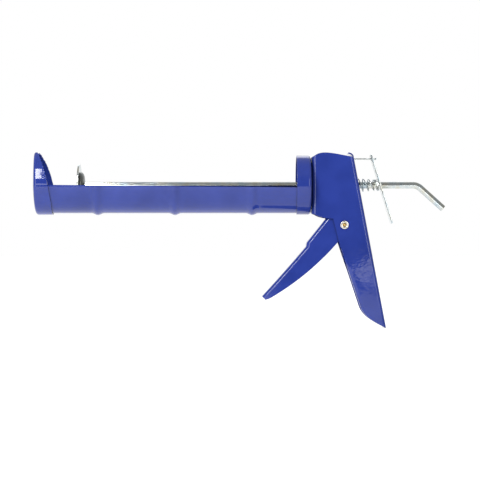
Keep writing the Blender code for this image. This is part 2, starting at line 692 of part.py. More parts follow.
def release_strip():
    """A strip through the spine that holds the release plate's upper end."""
    front = spine_at(HINGE_HEIGHT) - HANDLE_WALL - STRIP_INSIDE
    rear = HINGE.x + STRIP_PAST_HINGE
    half = STRIP_GAUGE / 2
    outline = [(front, half - STRIP_LEG), (front + STRIP_GAUGE, half - STRIP_LEG),
               (front + STRIP_GAUGE, -half), (rear - STRIP_HEAD_LENGTH / 2, -half),
               (rear - STRIP_HEAD_LENGTH / 2, half), (front, half)]
    shape = prism([(x, z + HINGE_HEIGHT) for x, z in outline], STRIP_WIDTH / 2)
    item = mesh_object("release_strip", shape)
    head = block("strip_head", (STRIP_HEAD_LENGTH, STRIP_HEAD_WIDTH, STRIP_GAUGE * 1.3),
                 (rear - STRIP_HEAD_LENGTH / 2, 0, HINGE_HEIGHT))
    boolean(item, head, "UNION")
    place(item, zinc_steel)


def release_spring():
    """A conical spring around the rod that keeps the release plate tilted."""
    gap = FIT_GAP + RELEASE_SPRING_WIRE / 2
    turns = 5

    def radius_at(way):
        return RELEASE_SPRING_LARGE + (RELEASE_SPRING_SMALL - RELEASE_SPRING_LARGE) * way

    def along(way, z):
        share = min(1.0, way * turns / (turns - 1.4))
        share = 0.9 * share + 0.1 * way
        front = spine_at(z) + gap / math.cos(SPINE_LEAN)
        plate = HINGE.x + (HINGE_HEIGHT - z) * math.tan(RELEASE_LEAN)
        rear = plate - (RELEASE_GAUGE / 2 + gap + (1 - way) * 1.2 * MM) / math.cos(RELEASE_LEAN)
        return front + (rear - front) * share

    place(coil("release_spring", RELEASE_SPRING_WIRE, turns, radius_at, along), zinc_steel)


# Plunger

def rod_front():
    """Where the six-sided part of the rod starts, behind disc and cup."""
    return PEEN_THICKNESS + 3 * FIT_GAP + DISC_GAUGE + CUP_DEPTH


def plunger_rod():
    """A six-sided rod, bent down into a hook at the back, peened over the disc in front."""
    shape = bmesh.new()
    start = Matrix.Translation((ROD_BEND_START, 0, 0)) @ Matrix.Rotation(math.pi / 2, 4, "Y")
    start = start @ Matrix.Rotation(ROD_TURN, 4, "Z")
    ring = bmesh.ops.create_circle(shape, cap_ends=True, segments=6, radius=ROD_CORNER, matrix=start)
    face = ring["verts"][0].link_faces[0]
    grown = bmesh.ops.extrude_face_region(shape, geom=[face])
    moved = [g for g in grown["geom"] if isinstance(g, bmesh.types.BMVert)]
    bmesh.ops.translate(shape, vec=(rod_front() - ROD_BEND_START, 0, 0), verts=moved)
    bend = [f for f in shape.faces if (f.calc_center_median().x > ROD_BEND_START - 0.1 * MM)]
    turned_end = bmesh.ops.spin(shape, geom=bend, cent=(ROD_BEND_START, 0, -ROD_BEND_RADIUS),
                                axis=(0, 1, 0), angle=ROD_BEND, steps=8)
    bmesh.ops.delete(shape, geom=bend, context="FACES")
    last = [g for g in turned_end["geom_last"] if isinstance(g, bmesh.types.BMFace)]
    grown = bmesh.ops.extrude_face_region(shape, geom=last)
    bmesh.ops.delete(shape, geom=last, context="FACES")
    moved = [g for g in grown["geom"] if isinstance(g, bmesh.types.BMVert)]
    tail = (ROD_TAIL * math.cos(ROD_BEND), 0, -ROD_TAIL * math.sin(ROD_BEND))
    bmesh.ops.translate(shape, vec=tail, verts=moved)
    end_face = [g for g in grown["geom"] if isinstance(g, bmesh.types.BMFace)]
    rim = [e for e in end_face[0].edges]
    bmesh.ops.bevel(shape, geom=rim, offset=0.6 * MM, segments=2, profile=0.5, affect="EDGES")
    bmesh.ops.remove_doubles(shape, verts=shape.verts, dist=0.00001)
    item = mesh_object("plunger_rod", shape)
    inside = rod_front() + 1 * MM
    spigot = turned("rod_spigot", [(0.0, inside), (SPIGOT_RADIUS, inside),
                                   (SPIGOT_RADIUS, PEEN_THICKNESS), (PEEN_RADIUS, PEEN_THICKNESS),
                                   (PEEN_RADIUS - 0.3 * MM, 0.0), (0.0, 0.0)], SMALL_STEPS)
    spigot.hide_render = True
    spigot.display_type = "WIRE"
    CUTTERS.objects.link(spigot)
    boolean(item, spigot, "UNION")
    place(item, zinc_steel)


def piston_disc():
    front = PEEN_THICKNESS + FIT_GAP
    bore = SPIGOT_RADIUS + FIT_GAP
    rear = front + DISC_GAUGE
    profile = [(bore, rear), (DISC_RADIUS, rear), (DISC_RADIUS, front), (bore, front)]
    place(turned("piston_disc", profile), zinc_steel)


def piston_cup():
    """A shallow dished washer that backs the disc."""
    front = PEEN_THICKNESS + 2 * FIT_GAP + DISC_GAUGE
    rear = front + CUP_DEPTH
    bore = SPIGOT_RADIUS + FIT_GAP
    flat = 0.55 * CUP_RADIUS
    profile = [(bore, rear), (flat, rear), (CUP_RADIUS, front + CUP_WALL), (CUP_RADIUS, front),
               (CUP_RADIUS - CUP_WALL, front), (flat - 0.3 * CUP_WALL, rear - CUP_WALL),
               (bore, rear - CUP_WALL)]
    place(turned("piston_cup", profile), zinc_steel)


front_cap()
cradle()
rear_collar()
barrel_bush()
head_plate()
handle()
pivot_rivet()
trigger()
drive_plate("drive_plate_front", PLATES_FRONT)
drive_plate("drive_plate_rear", PLATES_REAR - DRIVE_PLATE_GAUGE)
spring_washer()
drive_spring()
release_plate()
release_strip()
release_spring()
plunger_rod()
piston_disc()
piston_cup()
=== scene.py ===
# %% [markdown]
# # A caulking gun, piece by piece
# The gun is a half-round cradle for a cartridge, a folded sheet-steel handle with a squeeze
# trigger, and a six-sided rod that a spring-loaded plate pushes forward.  The pieces that
# move are already settled in the frame.  Here every visible piece gets its fine shape and
# its finish: gloss enamel on the pressed steel and bright zinc on the rod and small parts.

# %% Load the frame
import json
import math

import bmesh
import bpy
from mathutils import Matrix, Vector


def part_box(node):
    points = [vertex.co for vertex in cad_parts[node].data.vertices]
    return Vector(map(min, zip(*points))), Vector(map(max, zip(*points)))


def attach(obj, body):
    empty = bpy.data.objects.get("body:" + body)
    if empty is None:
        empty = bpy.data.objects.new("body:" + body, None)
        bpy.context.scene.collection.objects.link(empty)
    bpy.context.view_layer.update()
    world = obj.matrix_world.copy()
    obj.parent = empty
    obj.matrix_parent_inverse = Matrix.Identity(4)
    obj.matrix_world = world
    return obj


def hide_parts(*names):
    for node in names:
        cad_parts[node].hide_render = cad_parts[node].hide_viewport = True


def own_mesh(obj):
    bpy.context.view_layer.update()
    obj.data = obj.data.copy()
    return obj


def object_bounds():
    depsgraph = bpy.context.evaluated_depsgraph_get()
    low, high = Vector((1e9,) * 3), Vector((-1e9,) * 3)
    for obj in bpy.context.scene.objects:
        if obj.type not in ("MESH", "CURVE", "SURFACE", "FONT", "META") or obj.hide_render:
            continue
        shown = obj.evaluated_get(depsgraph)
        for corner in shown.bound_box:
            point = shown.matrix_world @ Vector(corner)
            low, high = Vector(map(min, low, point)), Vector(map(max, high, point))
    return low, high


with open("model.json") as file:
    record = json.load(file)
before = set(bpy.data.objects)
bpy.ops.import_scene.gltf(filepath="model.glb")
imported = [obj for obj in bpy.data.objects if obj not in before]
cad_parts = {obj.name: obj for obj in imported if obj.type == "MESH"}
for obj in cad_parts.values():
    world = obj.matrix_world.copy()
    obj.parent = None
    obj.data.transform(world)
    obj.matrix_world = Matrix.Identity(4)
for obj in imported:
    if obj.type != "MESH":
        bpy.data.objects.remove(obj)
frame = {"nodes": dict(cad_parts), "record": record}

MM = 0.001
CAD_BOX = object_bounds()

# %% [markdown]
# ## Where things are
# All places come from the frame's own boxes and joints, so a new pack moves this model too.
# The barrel's middle is the X axis.  X runs back towards the hooked end and Z is up.

# %% Places taken from the frame
cap_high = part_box("front_cap")[1]
cradle_low, cradle_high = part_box("cradle")
collar_low, collar_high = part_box("rear_collar")
handle_low, handle_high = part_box("handle")
disc_low, disc_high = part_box("piston_disc")
cup_low, cup_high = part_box("piston_cup")
rivet_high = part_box("pivot_rivet")[1]
joints = {joint["name"]: joint for joint in frame["record"]["behaviour"]["joints"]}
PIVOT = Vector(joints["trigger_pivot"]["pos_m"])
HINGE = Vector(joints["release_hinge"]["pos_m"])
HEAD_FRONT = handle_low.x
print("pivot", [round(v / MM, 1) for v in PIVOT], "hinge", [round(v / MM, 1) for v in HINGE])

# %% [markdown]
# ## Small helpers for shaping
# A turned piece is a half outline spun about the barrel's middle.  A sheet piece is an open
# surface that gets its thickness last, by Solidify, and a fine rounding on its cut edges by
# Bevel.  Weighted normals keep wide flats flat right up to that rounding.

# %% Outlines
def arc(centre, radius, start, end, steps):
    """Points on a circle from one angle in degrees to another, both included."""
    angles = [math.radians(start + (end - start) * i / steps) for i in range(steps + 1)]
    return [(centre[0] + radius * math.cos(a), centre[1] + radius * math.sin(a)) for a in angles]


def bezier(points, steps):
    """Points on a Bezier curve of any degree, both ends included."""
    curve = []
    for i in range(steps + 1):
        level = [Vector(p) for p in points]
        while len(level) > 1:
            level = [a.lerp(b, i / steps) for a, b in zip(level, level[1:])]
        curve.append(tuple(level[0]))
    return curve


def smooth_step(value, start, end):
    """Goes gently from 0 at the start to 1 at the end."""
    share = min(1.0, max(0.0, (value - start) / (end - start)))
    return share * share * (3 - 2 * share)


print("outlines: arc, bezier, smooth_step")


# %% Turned shapes
def spun(outline, steps=128, sweep=360.0, closed=False):
    """Spins an outline of (x, radius) points about the barrel's middle."""
    shape = bmesh.new()
    verts = [shape.verts.new((x, -radius, 0.0)) for x, radius in outline]
    pairs = list(zip(verts, verts[1:]))
    if closed:
        pairs.append((verts[-1], verts[0]))
    edges = [shape.edges.new(pair) for pair in pairs]
    bmesh.ops.spin(shape, geom=verts + edges, cent=(0, 0, 0), axis=(1, 0, 0),
                   angle=math.radians(sweep), steps=steps, use_merge=sweep == 360.0)
    bmesh.ops.remove_doubles(shape, verts=shape.verts, dist=0.002 * MM)
    bmesh.ops.recalc_face_normals(shape, faces=shape.faces)
    return shape


def rounded_ring(front, rear, inside, outside, corner):
    """The closed outline of a ring with rounded corners, as (x, radius) points."""
    outline = arc((front + corner, inside + corner), corner, 270, 180, 3)
    outline += arc((front + corner, outside - corner), corner, 180, 90, 3)
    outline += arc((rear - corner, outside - corner), corner, 90, 0, 3)
    outline += arc((rear - corner, inside + corner), corner, 0, -90, 3)
    return outline


print("turned shapes: spun, rounded_ring")


# %% Finishing a piece
def as_object(name, shape):
    """Turns a bmesh into a smooth object at the origin."""
    mesh = bpy.data.meshes.new(name)
    shape.to_mesh(mesh)
    shape.free()
    mesh.shade_smooth()
    item = bpy.data.objects.new(name, mesh)
    bpy.context.collection.objects.link(item)
    return item


def settled(item):
    """Works an object's modifiers into its mesh."""
    bpy.context.view_layer.update()
    graph = bpy.context.evaluated_depsgraph_get()
    mesh = bpy.data.meshes.new_from_object(item.evaluated_get(graph))
    item.modifiers.clear()
    item.data = mesh
    return item


def with_wall(item, gauge):
    """Gives an open sheet its thickness, towards the inside."""
    wall = item.modifiers.new("wall", "SOLIDIFY")
    wall.thickness = gauge
    wall.offset = -1.0
    return item


def cut(item, shape):
    """Takes one closed shape out of another."""
    tool = as_object("cutter", shape)
    step = item.modifiers.new("cut", "BOOLEAN")
    step.operation = "DIFFERENCE"
    step.solver = "EXACT"
    step.object = tool
    settled(item)
    bpy.data.objects.remove(tool, do_unlink=True)
    return item


def drilled(item, centre, hinge, radius, depth):
    """Drills a round hole; the upright drill is turned a quarter about the hinge axis."""
    shape = bmesh.new()
    turn = Matrix.Rotation(math.pi / 2, 4, hinge)
    bmesh.ops.create_cone(shape, cap_ends=True, segments=48, radius1=radius, radius2=radius,
                          depth=depth, matrix=Matrix.Translation(centre) @ turn)
    return cut(item, shape)


def soften_edges(item, width, angle=38.0, segments=2):
    """Rounds the cut edges and keeps the flats flat."""
    edge = item.modifiers.new("edges", "BEVEL")
    edge.width = width
    edge.segments = segments
    edge.limit_method = "ANGLE"
    edge.angle_limit = math.radians(angle)
    edge.miter_outer = "MITER_ARC"
    even = item.modifiers.new("flats", "WEIGHTED_NORMAL")
    even.keep_sharp = True
    return item


def register(item, body, nodes, material):
    """Gives a piece its finish and its place in the frame."""
    item.data.materials.clear()
    item.data.materials.append(material)
    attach(item, body)
    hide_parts(*nodes)
    low, high = [Vector(f(v.co[i] for v in item.data.vertices) for i in range(3)) for f in (min, max)]
    size = [round(v / MM, 1) for v in high - low]
    print(f"{item.name}: {len(item.data.polygons)} faces, {size} mm, rides on {body}")
    return item


# %% [markdown]
# ## Finishes
# One function turns a hex colour into the linear numbers that shaders use, and one adds a
# node with its settings and links.  Four short ones add the kinds of node that come up again
# and again.  Every pattern reads Object coordinates, which are metres here, so a scale of
# 1000 makes a pattern about a millimetre across.

# %% Colour and node helpers
def linear(code):
    """An sRGB hex colour as linear red, green, blue and alpha."""
    channels = [int(code[i:i + 2], 16) / 255 for i in (1, 3, 5)]
    return tuple(c / 12.92 if c <= 0.04045 else ((c + 0.055) / 1.055) ** 2.4
                 for c in channels) + (1.0,)


def add_node(tree, kind, values=None, links=None, **settings):
    """Adds one node: settings are its properties, values its sockets, links its inputs."""
    node = tree.nodes.new(kind)
    for name, value in settings.items():
        setattr(node, name, value)
    for name, value in (values or {}).items():
        node.inputs[name].default_value = value
    for name, source in (links or {}).items():
        tree.links.new(source, node.inputs[name])
    return node


def noise(tree, where, scale, detail, roughness=0.5):
    """The value of a noise pattern with so many patches to the metre."""
    return add_node(tree, "ShaderNodeTexNoise",
                    {"Scale": scale, "Detail": detail, "Roughness": roughness},
                    {"Vector": where}).outputs["Fac"]


def remapped(tree, value, old, new):
    """Moves a value from one range to another."""
    return add_node(tree, "ShaderNodeMapRange",
                    {"From Min": old[0], "From Max": old[1], "To Min": new[0], "To Max": new[1]},
                    {"Value": value}).outputs["Result"]


def mixed(tree, share, colour, other):
    """Mixes a fixed colour into another node's colour."""
    return add_node(tree, "ShaderNodeMixRGB", {"Color2": other},
                    {"Fac": share, "Color1": colour}).outputs["Color"]


def relief(tree, height, strength, distance, below=None):
    """A bumpy surface, if need be on top of another one."""
    links = {"Height": height} if below is None else {"Height": height, "Normal": below}
    return add_node(tree, "ShaderNodeBump", {"Strength": strength, "Distance": distance},
                    links).outputs["Normal"]


def new_finish(name):
    """A new material: gives its tree, its shader and its Object coordinates."""
    material = bpy.data.materials.new(name)
    material.use_nodes = True
    tree = material.node_tree
    shader = tree.nodes["Principled BSDF"]
    where = add_node(tree, "ShaderNodeTexCoord").outputs["Object"]
    return material, tree, shader, where


print("finish helpers: linear, add_node, noise, remapped, mixed, relief, new_finish")

# %% [markdown]
# ### Gloss enamel
# The pressed pieces are dipped or sprayed with a blue stoving enamel: a hard, glossy film
# some 40 microns thick.  It flows a little before it sets, which leaves a very shallow
# ripple about 3 mm across, called orange peel.  Sharp edges are painted a touch lighter,
# partly because the enamel pulls thin there and partly as a painted highlight.  Corners and
# crevices are painted darker as shade.
# Handling leaves fine scuffs that only show as duller gloss.  A wide,
# slow wave stands for the sheet itself, which is never quite flat after pressing.

# %% Blue gloss enamel
ENAMEL = linear("#293a8a")
# The lighter colour painted on sharp edges: thinner enamel there, plus a painted highlight.
ENAMEL_THIN_AND_HIGHLIT = linear("#2d4090")
ENAMEL_DEEP = linear("#22327c")
# The darker colour painted into corners and crevices as shade.
ENAMEL_CORNER_SHADE = linear("#121a3c")
ENAMEL_IOR = 1.5
ENAMEL_GLOSS = (0.035, 0.16)
CLOUD_SCALE = 1000 / 30.0
SCUFF_SCALE = 1000 / 1.2
PEEL_SCALE = 1000 / 3.0
PEEL_DEPTH = 0.08 * MM
SHEET_WAVE_SCALE = 1000 / 45.0
SHEET_WAVE_DEPTH = 0.7 * MM
EDGE_HIGHLIGHT_REACH = 0.7 * MM
CORNER_SHADE_REACH = 4.0 * MM


def gloss_enamel(name, seed):
    """Stoving enamel on pressed sheet, with orange peel, light scuffs, edges painted lighter (thin
    enamel and painted highlight) and painted shade in corners.
    """
    material, tree, shader, where = new_finish(name)
    placed = add_node(tree, "ShaderNodeMapping", {"Location": (seed, 2 * seed, -seed)},
                      {"Vector": where}).outputs["Vector"]
    cloud = noise(tree, placed, CLOUD_SCALE, 3.0)
    tone = add_node(tree, "ShaderNodeValToRGB", links={"Fac": cloud})
    tone.color_ramp.elements[0].position = 0.3
    tone.color_ramp.elements[0].color = ENAMEL_DEEP
    tone.color_ramp.elements[1].position = 0.62
    tone.color_ramp.elements[1].color = ENAMEL
    # Painted highlight: sharp edges are painted a touch lighter, partly for the thinner enamel there.
    edge = add_node(tree, "ShaderNodeAmbientOcclusion", {"Distance": EDGE_HIGHLIGHT_REACH},
                    samples=8, inside=True, only_local=True)
    thin_and_highlit_edge = remapped(tree, edge.outputs["AO"], (0.55, 0.3), (0.0, 0.8))
    colour = mixed(tree, thin_and_highlit_edge, tone.outputs["Color"], ENAMEL_THIN_AND_HIGHLIT)
    # Painted shade: corners and crevices near other parts are painted darker.
    corner = add_node(tree, "ShaderNodeAmbientOcclusion", {"Distance": CORNER_SHADE_REACH}, samples=8)
    painted_corner_shade = remapped(tree, corner.outputs["AO"], (0.9, 0.45), (0.0, 0.6))
    tree.links.new(mixed(tree, painted_corner_shade, colour, ENAMEL_CORNER_SHADE), shader.inputs["Base Color"])
    scuff_place = add_node(tree, "ShaderNodeMapping", {"Rotation": (0.0, 0.5, 0.2),
                                                       "Scale": (0.25, 1.0, 1.0)},
                           {"Vector": placed}).outputs["Vector"]
    scuffs = noise(tree, scuff_place, SCUFF_SCALE, 5.0, 0.65)
    tree.links.new(remapped(tree, scuffs, (0.5, 0.8), ENAMEL_GLOSS), shader.inputs["Roughness"])
    sheet = relief(tree, noise(tree, placed, SHEET_WAVE_SCALE, 1.0), 0.25, SHEET_WAVE_DEPTH)
    ripple = relief(tree, noise(tree, placed, PEEL_SCALE, 1.5), 0.2, PEEL_DEPTH, sheet)
    tree.links.new(ripple, shader.inputs["Normal"])
    shader.inputs["IOR"].default_value = ENAMEL_IOR
    return material


barrel_enamel = gloss_enamel("stoving_enamel_barrel", 0.31)
handle_enamel = gloss_enamel("stoving_enamel_handle", 1.73)
print("enamel:", [round(c, 3) for c in ENAMEL[:3]], "IOR", ENAMEL_IOR)

# %% [markdown]
# ### Bright zinc
# The rod, the plates and the springs are plated with bright zinc.  It is a metal with a cool
# grey colour.  The plating follows what lies below it: lengthwise die lines on the drawn rod
# and wire, and a fine rolled grain on the stamped plates.  Patches of the clear passivation
# are a little yellower or bluer.

# %% Bright zinc plate
ZINC = linear("#cdd3d2")
ZINC_COOL = linear("#bccacf")
ZINC_WARM = linear("#ccc9b8")
ZINC_DULL = linear("#7f8585")
ZINC_OILED = linear("#4a4d4d")
PATCH_SCALE = 1000 / 9.0
SPOT_SCALE = 1000 / 2.5
TARNISH = 0.35
LINE_WEAR = 0.14
GRAIN_DEPTH = 0.03 * MM


def bright_zinc(name, grain, line_width, roughness, dull=0.0, dark=ZINC_DULL):
    """Zinc plate; grain stretches its lines along X, Y or Z."""
    material, tree, shader, where = new_finish(name)
    patch = noise(tree, where, PATCH_SCALE, 3.0)
    tint = add_node(tree, "ShaderNodeValToRGB", links={"Fac": patch})
    tint.color_ramp.elements[0].position = 0.35
    tint.color_ramp.elements[0].color = ZINC_COOL
    tint.color_ramp.elements[1].position = 0.7
    tint.color_ramp.elements[1].color = ZINC_WARM
    middle = tint.color_ramp.elements.new(0.5)
    middle.color = ZINC
    spots = noise(tree, where, SPOT_SCALE, 4.0, 0.7)
    tarnish = remapped(tree, spots, (0.5, 0.75), (dull, dull + TARNISH))
    tree.links.new(mixed(tree, tarnish, tint.outputs["Color"], dark), shader.inputs["Base Color"])
    along = add_node(tree, "ShaderNodeMapping", {"Scale": grain}, {"Vector": where})
    lines = noise(tree, along.outputs["Vector"], 1 / line_width, 2.0)
    worn = remapped(tree, lines, (0.35, 0.7), (roughness, roughness + LINE_WEAR))
    tree.links.new(worn, shader.inputs["Roughness"])
    tree.links.new(relief(tree, lines, 0.25, GRAIN_DEPTH), shader.inputs["Normal"])
    shader.inputs["Metallic"].default_value = 1.0
    return material


rod_zinc = bright_zinc("zinc_on_drawn_bar", (0.02, 1.0, 1.0), 0.45 * MM, 0.07)
plate_zinc = bright_zinc("zinc_on_stamped_plate", (1.0, 1.0, 0.12), 0.6 * MM, 0.14)
wire_zinc = bright_zinc("zinc_on_spring_wire", (1.0, 1.0, 1.0), 0.5 * MM, 0.22, 0.15)
cup_zinc = bright_zinc("oiled_zinc_cup", (1.0, 1.0, 1.0), 0.8 * MM, 0.3, 0.75, ZINC_OILED)
print("zinc finishes:", rod_zinc.name, plate_zinc.name, wire_zinc.name, cup_zinc.name)

# %% [markdown]
# ### Nickel on the rivet
# The rivet is nickel plated, a warmer and shinier metal than zinc.  Its hollow end keeps a
# little of the drawing oil and goes golden towards the bottom.

# %% Nickel plate
NICKEL = linear("#e9e5da")
NICKEL_GOLD = linear("#b49a5a")
MOTTLE_SCALE = 1000 / 1.0
MOTTLE_DEPTH = 0.03 * MM
GOLD_REACH = (2.3 * MM, 1.5 * MM)


def nickel_plate(name):
    """Nickel that turns golden near the rivet's own middle line."""
    material, tree, shader, where = new_finish(name)
    centred = add_node(tree, "ShaderNodeVectorMath", {1: tuple(PIVOT)}, {0: where},
                       operation="SUBTRACT")
    flat = add_node(tree, "ShaderNodeVectorMath", {1: (1.0, 0.0, 1.0)},
                    {0: centred.outputs["Vector"]}, operation="MULTIPLY")
    distance = add_node(tree, "ShaderNodeVectorMath", links={0: flat.outputs["Vector"]},
                        operation="LENGTH")
    mottle = noise(tree, where, MOTTLE_SCALE, 3.0)
    golden = remapped(tree, distance.outputs["Value"], GOLD_REACH, (0.0, 0.9))
    colour = add_node(tree, "ShaderNodeMixRGB", {"Color1": NICKEL, "Color2": NICKEL_GOLD},
                      {"Fac": golden})
    tree.links.new(colour.outputs["Color"], shader.inputs["Base Color"])
    tree.links.new(remapped(tree, mottle, (0.4, 0.7), (0.12, 0.3)), shader.inputs["Roughness"])
    tree.links.new(relief(tree, mottle, 0.3, MOTTLE_DEPTH), shader.inputs["Normal"])
    shader.inputs["Metallic"].default_value = 1.0
    return material


rivet_nickel = nickel_plate("nickel_on_rivet")
print("rivet finish:", rivet_nickel.name)

# %% [markdown]
# ## Front cap
# The cap is drawn from sheet as a shallow cup with a domed front.  A slot lets the nozzle
# through, round at the bottom and open at the top, and the metal beside it stands up as two
# horns.  The outline starts at the slot's radius, so the spin leaves the round part of the
# slot open.  Two planes cut its straight sides.  The side wall is trimmed back towards the
# horns by a row of planes along a curve, which works because what is kept is convex.

# %% Front cap
CAP_GAUGE = 1.1 * MM
CAP_DOME = 2.6 * MM
CAP_CORNER = 2.6 * MM
HALF_SLOT = 10.0 * MM
HORN_RISE = 4.95 * MM
HORN_LEAN = 1.6 * MM
cap_radius = cap_high.y
cap_rear = cap_high.x
CAP_DEPTH = 18.1 * MM
cap_front = cap_rear - CAP_DEPTH


def cap_outline():
    """The cap's outer side from the slot's edge to the rear, as (x, radius) points."""
    flat = cap_radius - CAP_CORNER
    radii = [HALF_SLOT + (flat - HALF_SLOT) * i / 10 for i in range(10)]
    dome = [(cap_front + CAP_DOME * (r / flat) ** 2, r) for r in radii]
    corner = arc((cap_front + CAP_DOME + CAP_CORNER, flat), CAP_CORNER, 169, 90, 8)
    return dome + corner + [(corner[-1][0] + (cap_rear - corner[-1][0]) * i / 4, cap_radius)
                            for i in range(1, 5)]


def raise_horns(shape):
    """Draws the upper half up and a little forward."""
    for vert in shape.verts:
        share = max(0.0, vert.co.z / cap_radius)
        vert.co.z += HORN_RISE * share ** 2
        vert.co.x -= HORN_LEAN * share ** 2


def trim_rear(shape):
    """Cuts the rear edge along a curve that leans forward towards the horns."""
    top = cap_radius + HORN_RISE
    curve = bezier([(cap_rear, -0.6 * cap_radius), (cap_rear - 3.0 * MM, 0.2 * cap_radius),
                    (cap_rear - 6.5 * MM, 0.75 * cap_radius), (cap_rear - 15.2 * MM, top)], 14)
    for (x0, z0), (x1, z1) in zip(curve, curve[1:]):
        bmesh.ops.bisect_plane(shape, geom=shape.verts[:] + shape.edges[:] + shape.faces[:],
                               dist=0.001 * MM, plane_co=(x0, 0, z0),
                               plane_no=(z1 - z0, 0, x0 - x1), clear_outer=True)


def front_cap():
    shape = spun(cap_outline(), steps=160)
    for side in (-HALF_SLOT, HALF_SLOT):
        upper = [f for f in shape.faces if f.calc_center_median().z > 0]
        edges = list({e for f in upper for e in f.edges})
        bmesh.ops.bisect_plane(shape, geom=upper + edges, dist=0.001 * MM,
                               plane_co=(0, side, 0), plane_no=(0, 1, 0))
    slot = [f for f in shape.faces if f.calc_center_median().z > 0
            and abs(f.calc_center_median().y) < HALF_SLOT - 0.01 * MM]
    bmesh.ops.delete(shape, geom=slot, context="FACES")
    raise_horns(shape)
    trim_rear(shape)
    bmesh.ops.remove_doubles(shape, verts=shape.verts, dist=0.03 * MM)
    return soften_edges(with_wall(as_object("cap_shell", shape), CAP_GAUGE), 0.22 * MM)


register(front_cap(), "frame", ["front_cap"], barrel_enamel)

# %% [markdown]
# ## Cradle
# The cradle is rolled from thin sheet to a half round, with three beads pressed outwards to
# stiffen it.  Half a turn of an outline that swells at each bead gives the trough, and one
# tilted plane cuts its upper edges, which drop a little towards the collar.

# %% Cradle
CRADLE_GAUGE = 0.8 * MM
BEAD_RISE = 1.8 * MM
BEAD_HALF_WIDTH = 6.0 * MM
BEAD_FIRST = 59.4 * MM
BEAD_PITCH = 70.9 * MM
BEAD_COUNT = 3
EDGE_DROP_FRONT = 0.4 * MM
EDGE_DROP_REAR = 2.9 * MM
cradle_radius = cradle_high.y - BEAD_RISE


def bead_swell(x):
    """How far the beads push the sheet out at a place along the barrel."""
    swell = 0.0
    for index in range(BEAD_COUNT):
        middle = cap_front + BEAD_FIRST + index * BEAD_PITCH
        way = min(1.0, abs(x - middle) / BEAD_HALF_WIDTH)
        swell += BEAD_RISE * (1 + math.cos(math.pi * way)) / 2
    return swell


def cradle():
    length = cradle_high.x - cradle_low.x
    places = [cradle_low.x + length * i / 260 for i in range(261)]
    shape = spun([(x, cradle_radius + bead_swell(x)) for x in places], steps=72, sweep=180.0)
    drop = (EDGE_DROP_REAR - EDGE_DROP_FRONT) / length
    bmesh.ops.bisect_plane(shape, geom=shape.verts[:] + shape.edges[:] + shape.faces[:],
                           dist=0.001 * MM, plane_co=(cradle_low.x, 0, -EDGE_DROP_FRONT),
                           plane_no=(drop, 0, 1), clear_outer=True)
    bmesh.ops.recalc_face_normals(shape, faces=shape.faces)
    return shape


def facing_out(shape, middle):
    """Turns an open sheet's faces away from a point inside it."""
    outward = sum(f.normal.dot(f.calc_center_median() - middle) * f.calc_area() for f in shape.faces)
    if outward < 0:
        bmesh.ops.reverse_faces(shape, faces=shape.faces)
    return shape


trough = facing_out(cradle(), Vector((0.5 * (cradle_low.x + cradle_high.x), 0, 0)))
trough = soften_edges(with_wall(as_object("cradle_shell", trough), CRADLE_GAUGE), 0.18 * MM)
register(trough, "frame", ["cradle"], barrel_enamel)

# %% [markdown]
# ## Rear collar
# A short drawn cup closes the barrel.  Its mouth is trimmed and its back corner is rounded
# over the die.  The whole section, wall and all, is one closed outline, so a full spin
# makes it solid at once.

# %% Rear collar
COLLAR_GAUGE = 0.9 * MM
COLLAR_CORNER = 2.4 * MM
MOUTH_ROUND = 0.3 * MM
BUSH_PLAY = 0.3 * MM
BUSH_TUBE = 6.5 * MM


def collar_outline():
    """The collar's section as one closed run of (x, radius) points."""
    outer = collar_high.y
    rear = collar_high.x
    front = collar_low.x
    bore = BUSH_TUBE + BUSH_PLAY
    middle = (rear - COLLAR_CORNER, outer - COLLAR_CORNER)
    steps = [front + MOUTH_ROUND + (middle[0] - front - MOUTH_ROUND) * i / 6 for i in range(1, 6)]
    outline = arc((front + MOUTH_ROUND, outer - MOUTH_ROUND), MOUTH_ROUND, 180, 90, 3)
    outline += [(x, outer) for x in steps]
    outline += arc(middle, COLLAR_CORNER, 90, 0, 10)
    outline += [(rear, bore), (rear - COLLAR_GAUGE, bore)]
    outline += arc(middle, COLLAR_CORNER - COLLAR_GAUGE, 0, 90, 8)
    outline += [(front + MOUTH_ROUND, outer - COLLAR_GAUGE), (front, outer - COLLAR_GAUGE)]
    return outline


collar = as_object("collar_shell", spun(collar_outline(), steps=160, closed=True))
register(soften_edges(collar, 0.1 * MM, 60.0), "frame", ["rear_collar"], barrel_enamel)

# %% [markdown]
# ## Folding a sheet
# Handle and trigger are each folded from one flat blank.  Half of the piece is enough: its
# flat side is one face, and each fold grows from a row of that face's edges by extruding
# them round a quarter circle.  Every vertex remembers its own way out in a layer, and
# extruded vertices inherit it, so a fold can fade in along an edge.  A mirror makes the
# other half.

# %% Fold helpers
FOLD_STEPS = 9


def flat_side(shape, stretches, side_y, way_out):
    """Makes the flat side from named stretches of ((x, z), way out) points.

    Gives the edges of each stretch.  A way out is (x, share of the fold, z).
    """
    rows = {}
    ring = []
    for name, points in stretches:
        row = []
        for (x, z), out in points:
            vert = shape.verts.new((x, side_y, z))
            vert[way_out] = Vector(out)
            row.append(vert)
        rows[name] = row
        ring += row
    shape.faces.new(ring)
    edges = {name: [shape.edges.get(pair) for pair in zip(row, row[1:])]
             for name, row in rows.items()}
    return edges


def grown_edges(shape, edges):
    """Extrudes a row of edges and gives the new row."""
    grown = bmesh.ops.extrude_edge_only(shape, edges=edges)
    return [g for g in grown["geom"] if isinstance(g, bmesh.types.BMEdge)]


